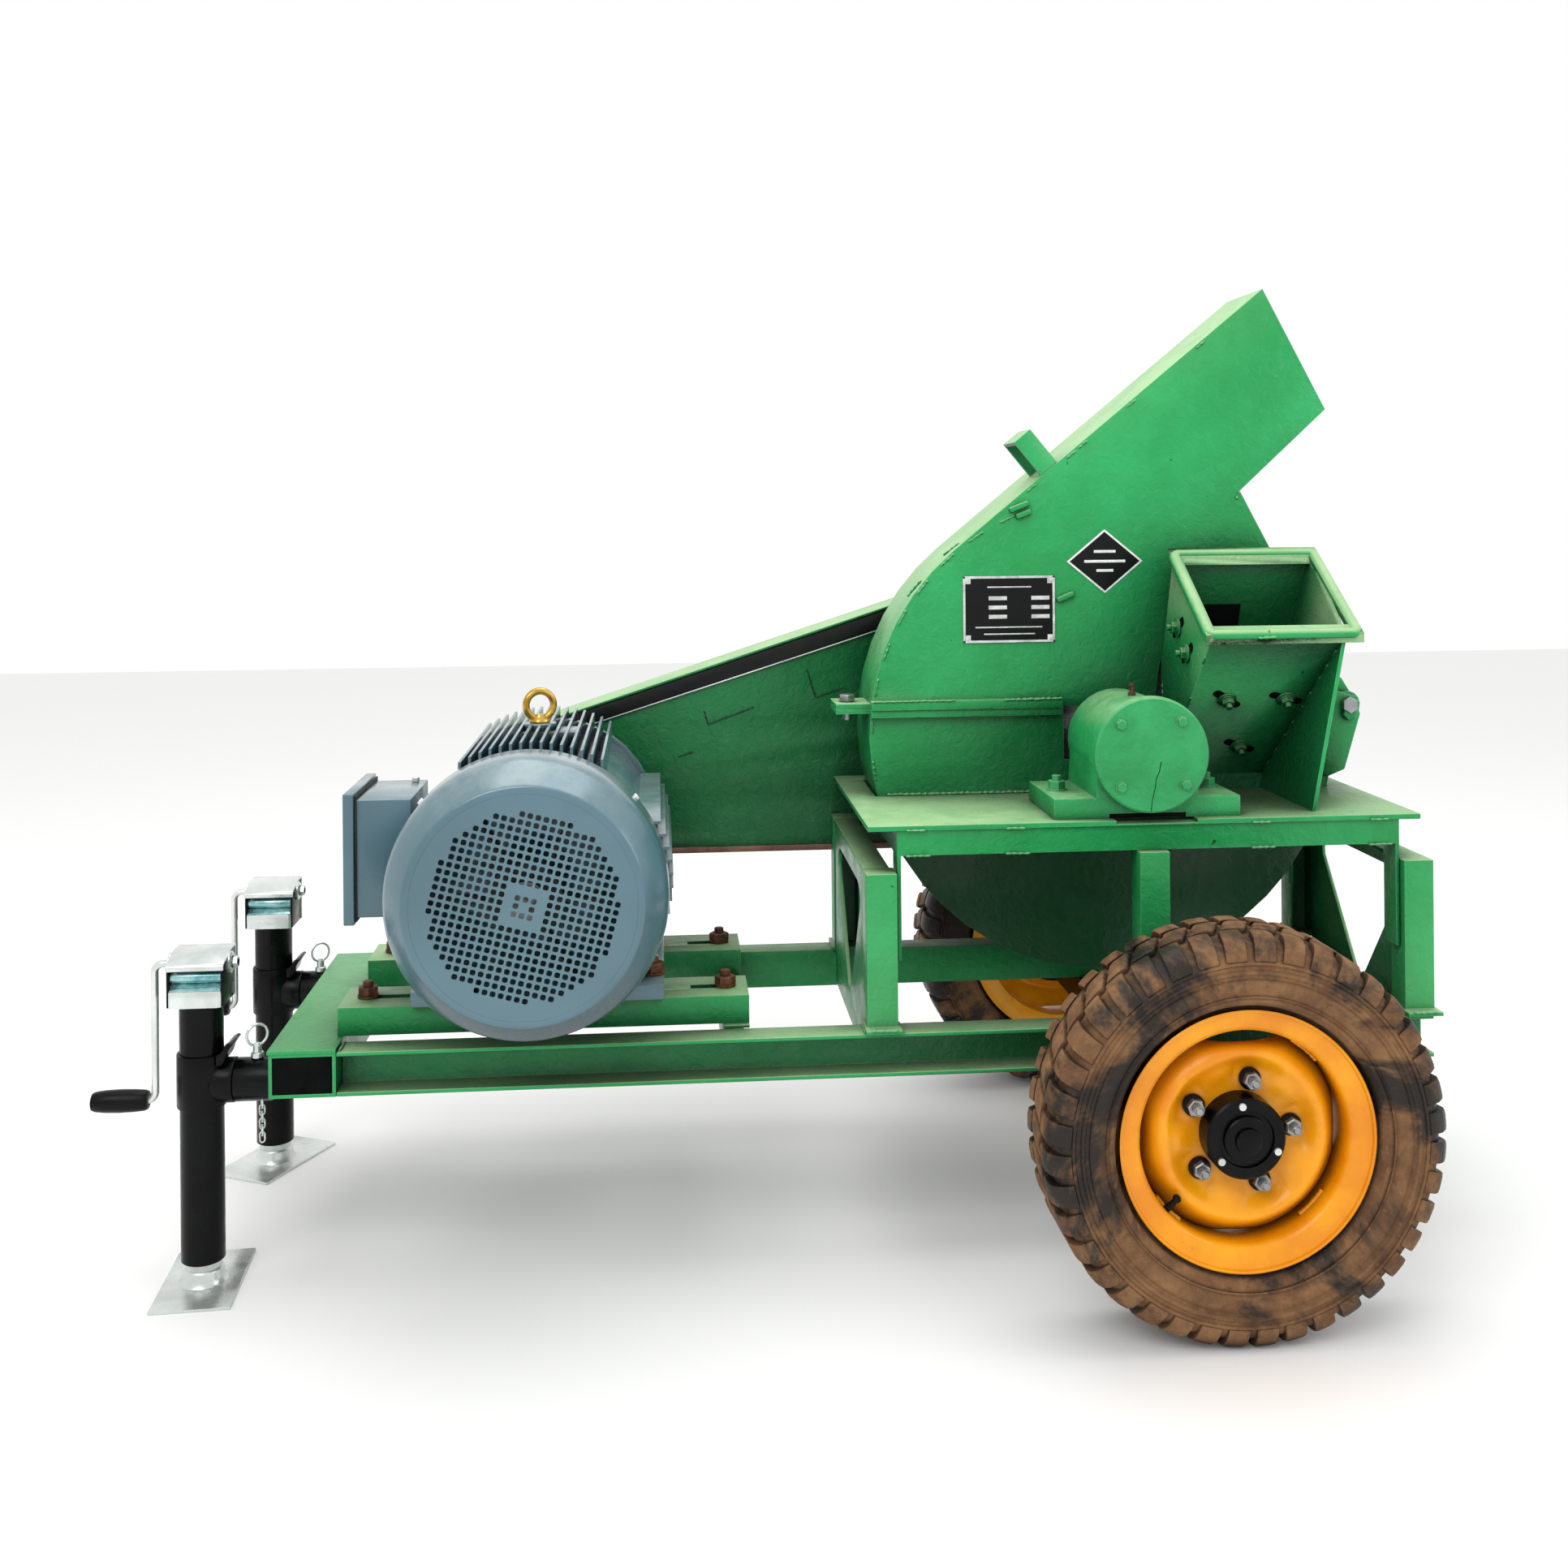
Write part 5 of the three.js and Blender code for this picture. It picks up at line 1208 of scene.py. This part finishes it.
def make_rail_bolts():
    build = Build()
    for y in (-145, 100):
        for x in (-605, -80):
            build.rod(15.6, "Z", (x, y, 0), 375, 379.2, 28, 0.8)
            build.hexagon(27.5, "Z", (x, y, 0), 378.6, 391, 0.4 + x)
            build.rod(7.6, "Z", (x, y, 0), 388, 399, 18, 1.2)
    piece("rail_bolts", build, "rust_brown")
    # Painted shade: dark sheets stand for the shade inside the rail slots and the open ends of the cross
    # beam.
    dark = Build()
    for y in (-145, 100):
        for x in (-560, -100):
            dark.box(x - 31.5, x + 31.5, y - 8.6, y + 8.6, 366, 367.5, 0)
    for y0, y1 in ((-249, -247.5), (247.5, 249)):
        dark.box(-719.6, -637.4, y0, y1, 272.4, 323.6, 0)
    piece("dark_openings", dark, "dark_inside")


def make_frame_welds():
    build = Build()
    for side in (-1, 1):
        for i, x in enumerate((-628, 118, 172, 520, 575, 924)):
            build.bead((x, side * 204, 329.6), (x, side * 246, 329.6), 2.6, 100 + i)
        build.bead((-633, side * 206, 272), (-633, side * 206, 326), 2.6, 110)
        for i, x in enumerate((126, 932)):
            build.bead((x, side * 258, 335), (x + 38, side * 258, 335), 2.8, 115 + i)
        for z in (262, 308):
            build.bead((-726, side * 195, z), (-726, side * 235, z), 2.2, z)
    for i, x in enumerate((182, 330, 700, 880)):
        build.bead((x, -226, 579), (x + 36, -226, 579), 2.4, 120 + i)
        build.bead((x, -231, 617), (x + 28, -231, 617), 2.2, 125 + i)
    piece("frame_welds", build, "green_paint")


def make_guard_details():
    x0, x1 = -404, 590

    def roof(x):
        return 735 + (x + 331) * 0.3191

    def strip(top0, low0, top1, low1, y0, y1, bevel=0.6):
        """A strip under the roof edge, given how far below it the strip's edges run at each end."""
        build = Build()
        low = [(x0, roof(x0) - low0), (x1, roof(x1) - low1)]
        top = [(x1, roof(x1) - top1), (x0, roof(x0) - top0)]
        return build.prism(low + top, y0, y1, "Y", bevel)

    # Painted shade: a near-black strip under the roof edge stands for the shade under its overhang.
    piece("guard_band", strip(2, 26, 2, 34, 235.5, 239.7), "black_band")
    # Painted highlight: a thin pale strip stands for light caught by the flange's lower edge.
    piece("guard_flange_edge", strip(26, 28, 34, 36, 235.0, 239.7, 0.3), "zinc_plate")
    piece("guard_strip", Build().box(-420, 640, 236.5, 246, 493.3, 503, 1.0), "primer_red")
    # Painted shade: the marks and beads are dark green, for the shadows that raised tabs and welds cast.
    seams = Build()
    marks = (
        ((-97, 739), (-91, 715), (-10, 744)),
        ((-143, 660), (-117, 669)),
        ((82, 808), (97, 759), (146, 775)),
    )
    for path in marks:
        for start, end in zip(path, path[1:]):
            seams.bead((start[0], 239.4, start[1]), (end[0], 239.4, end[1]), 1.5, start[0])
    for i, x in enumerate(range(-380, 560, 150)):
        seams.bead((x, 239, roof(x) + 2), (x + 30, 239, roof(x + 30) + 2), 1.6, 150 + i)
    piece("guard_seams", seams, "green_shaded")


make_rail_bolts()
make_frame_welds()
make_guard_details()
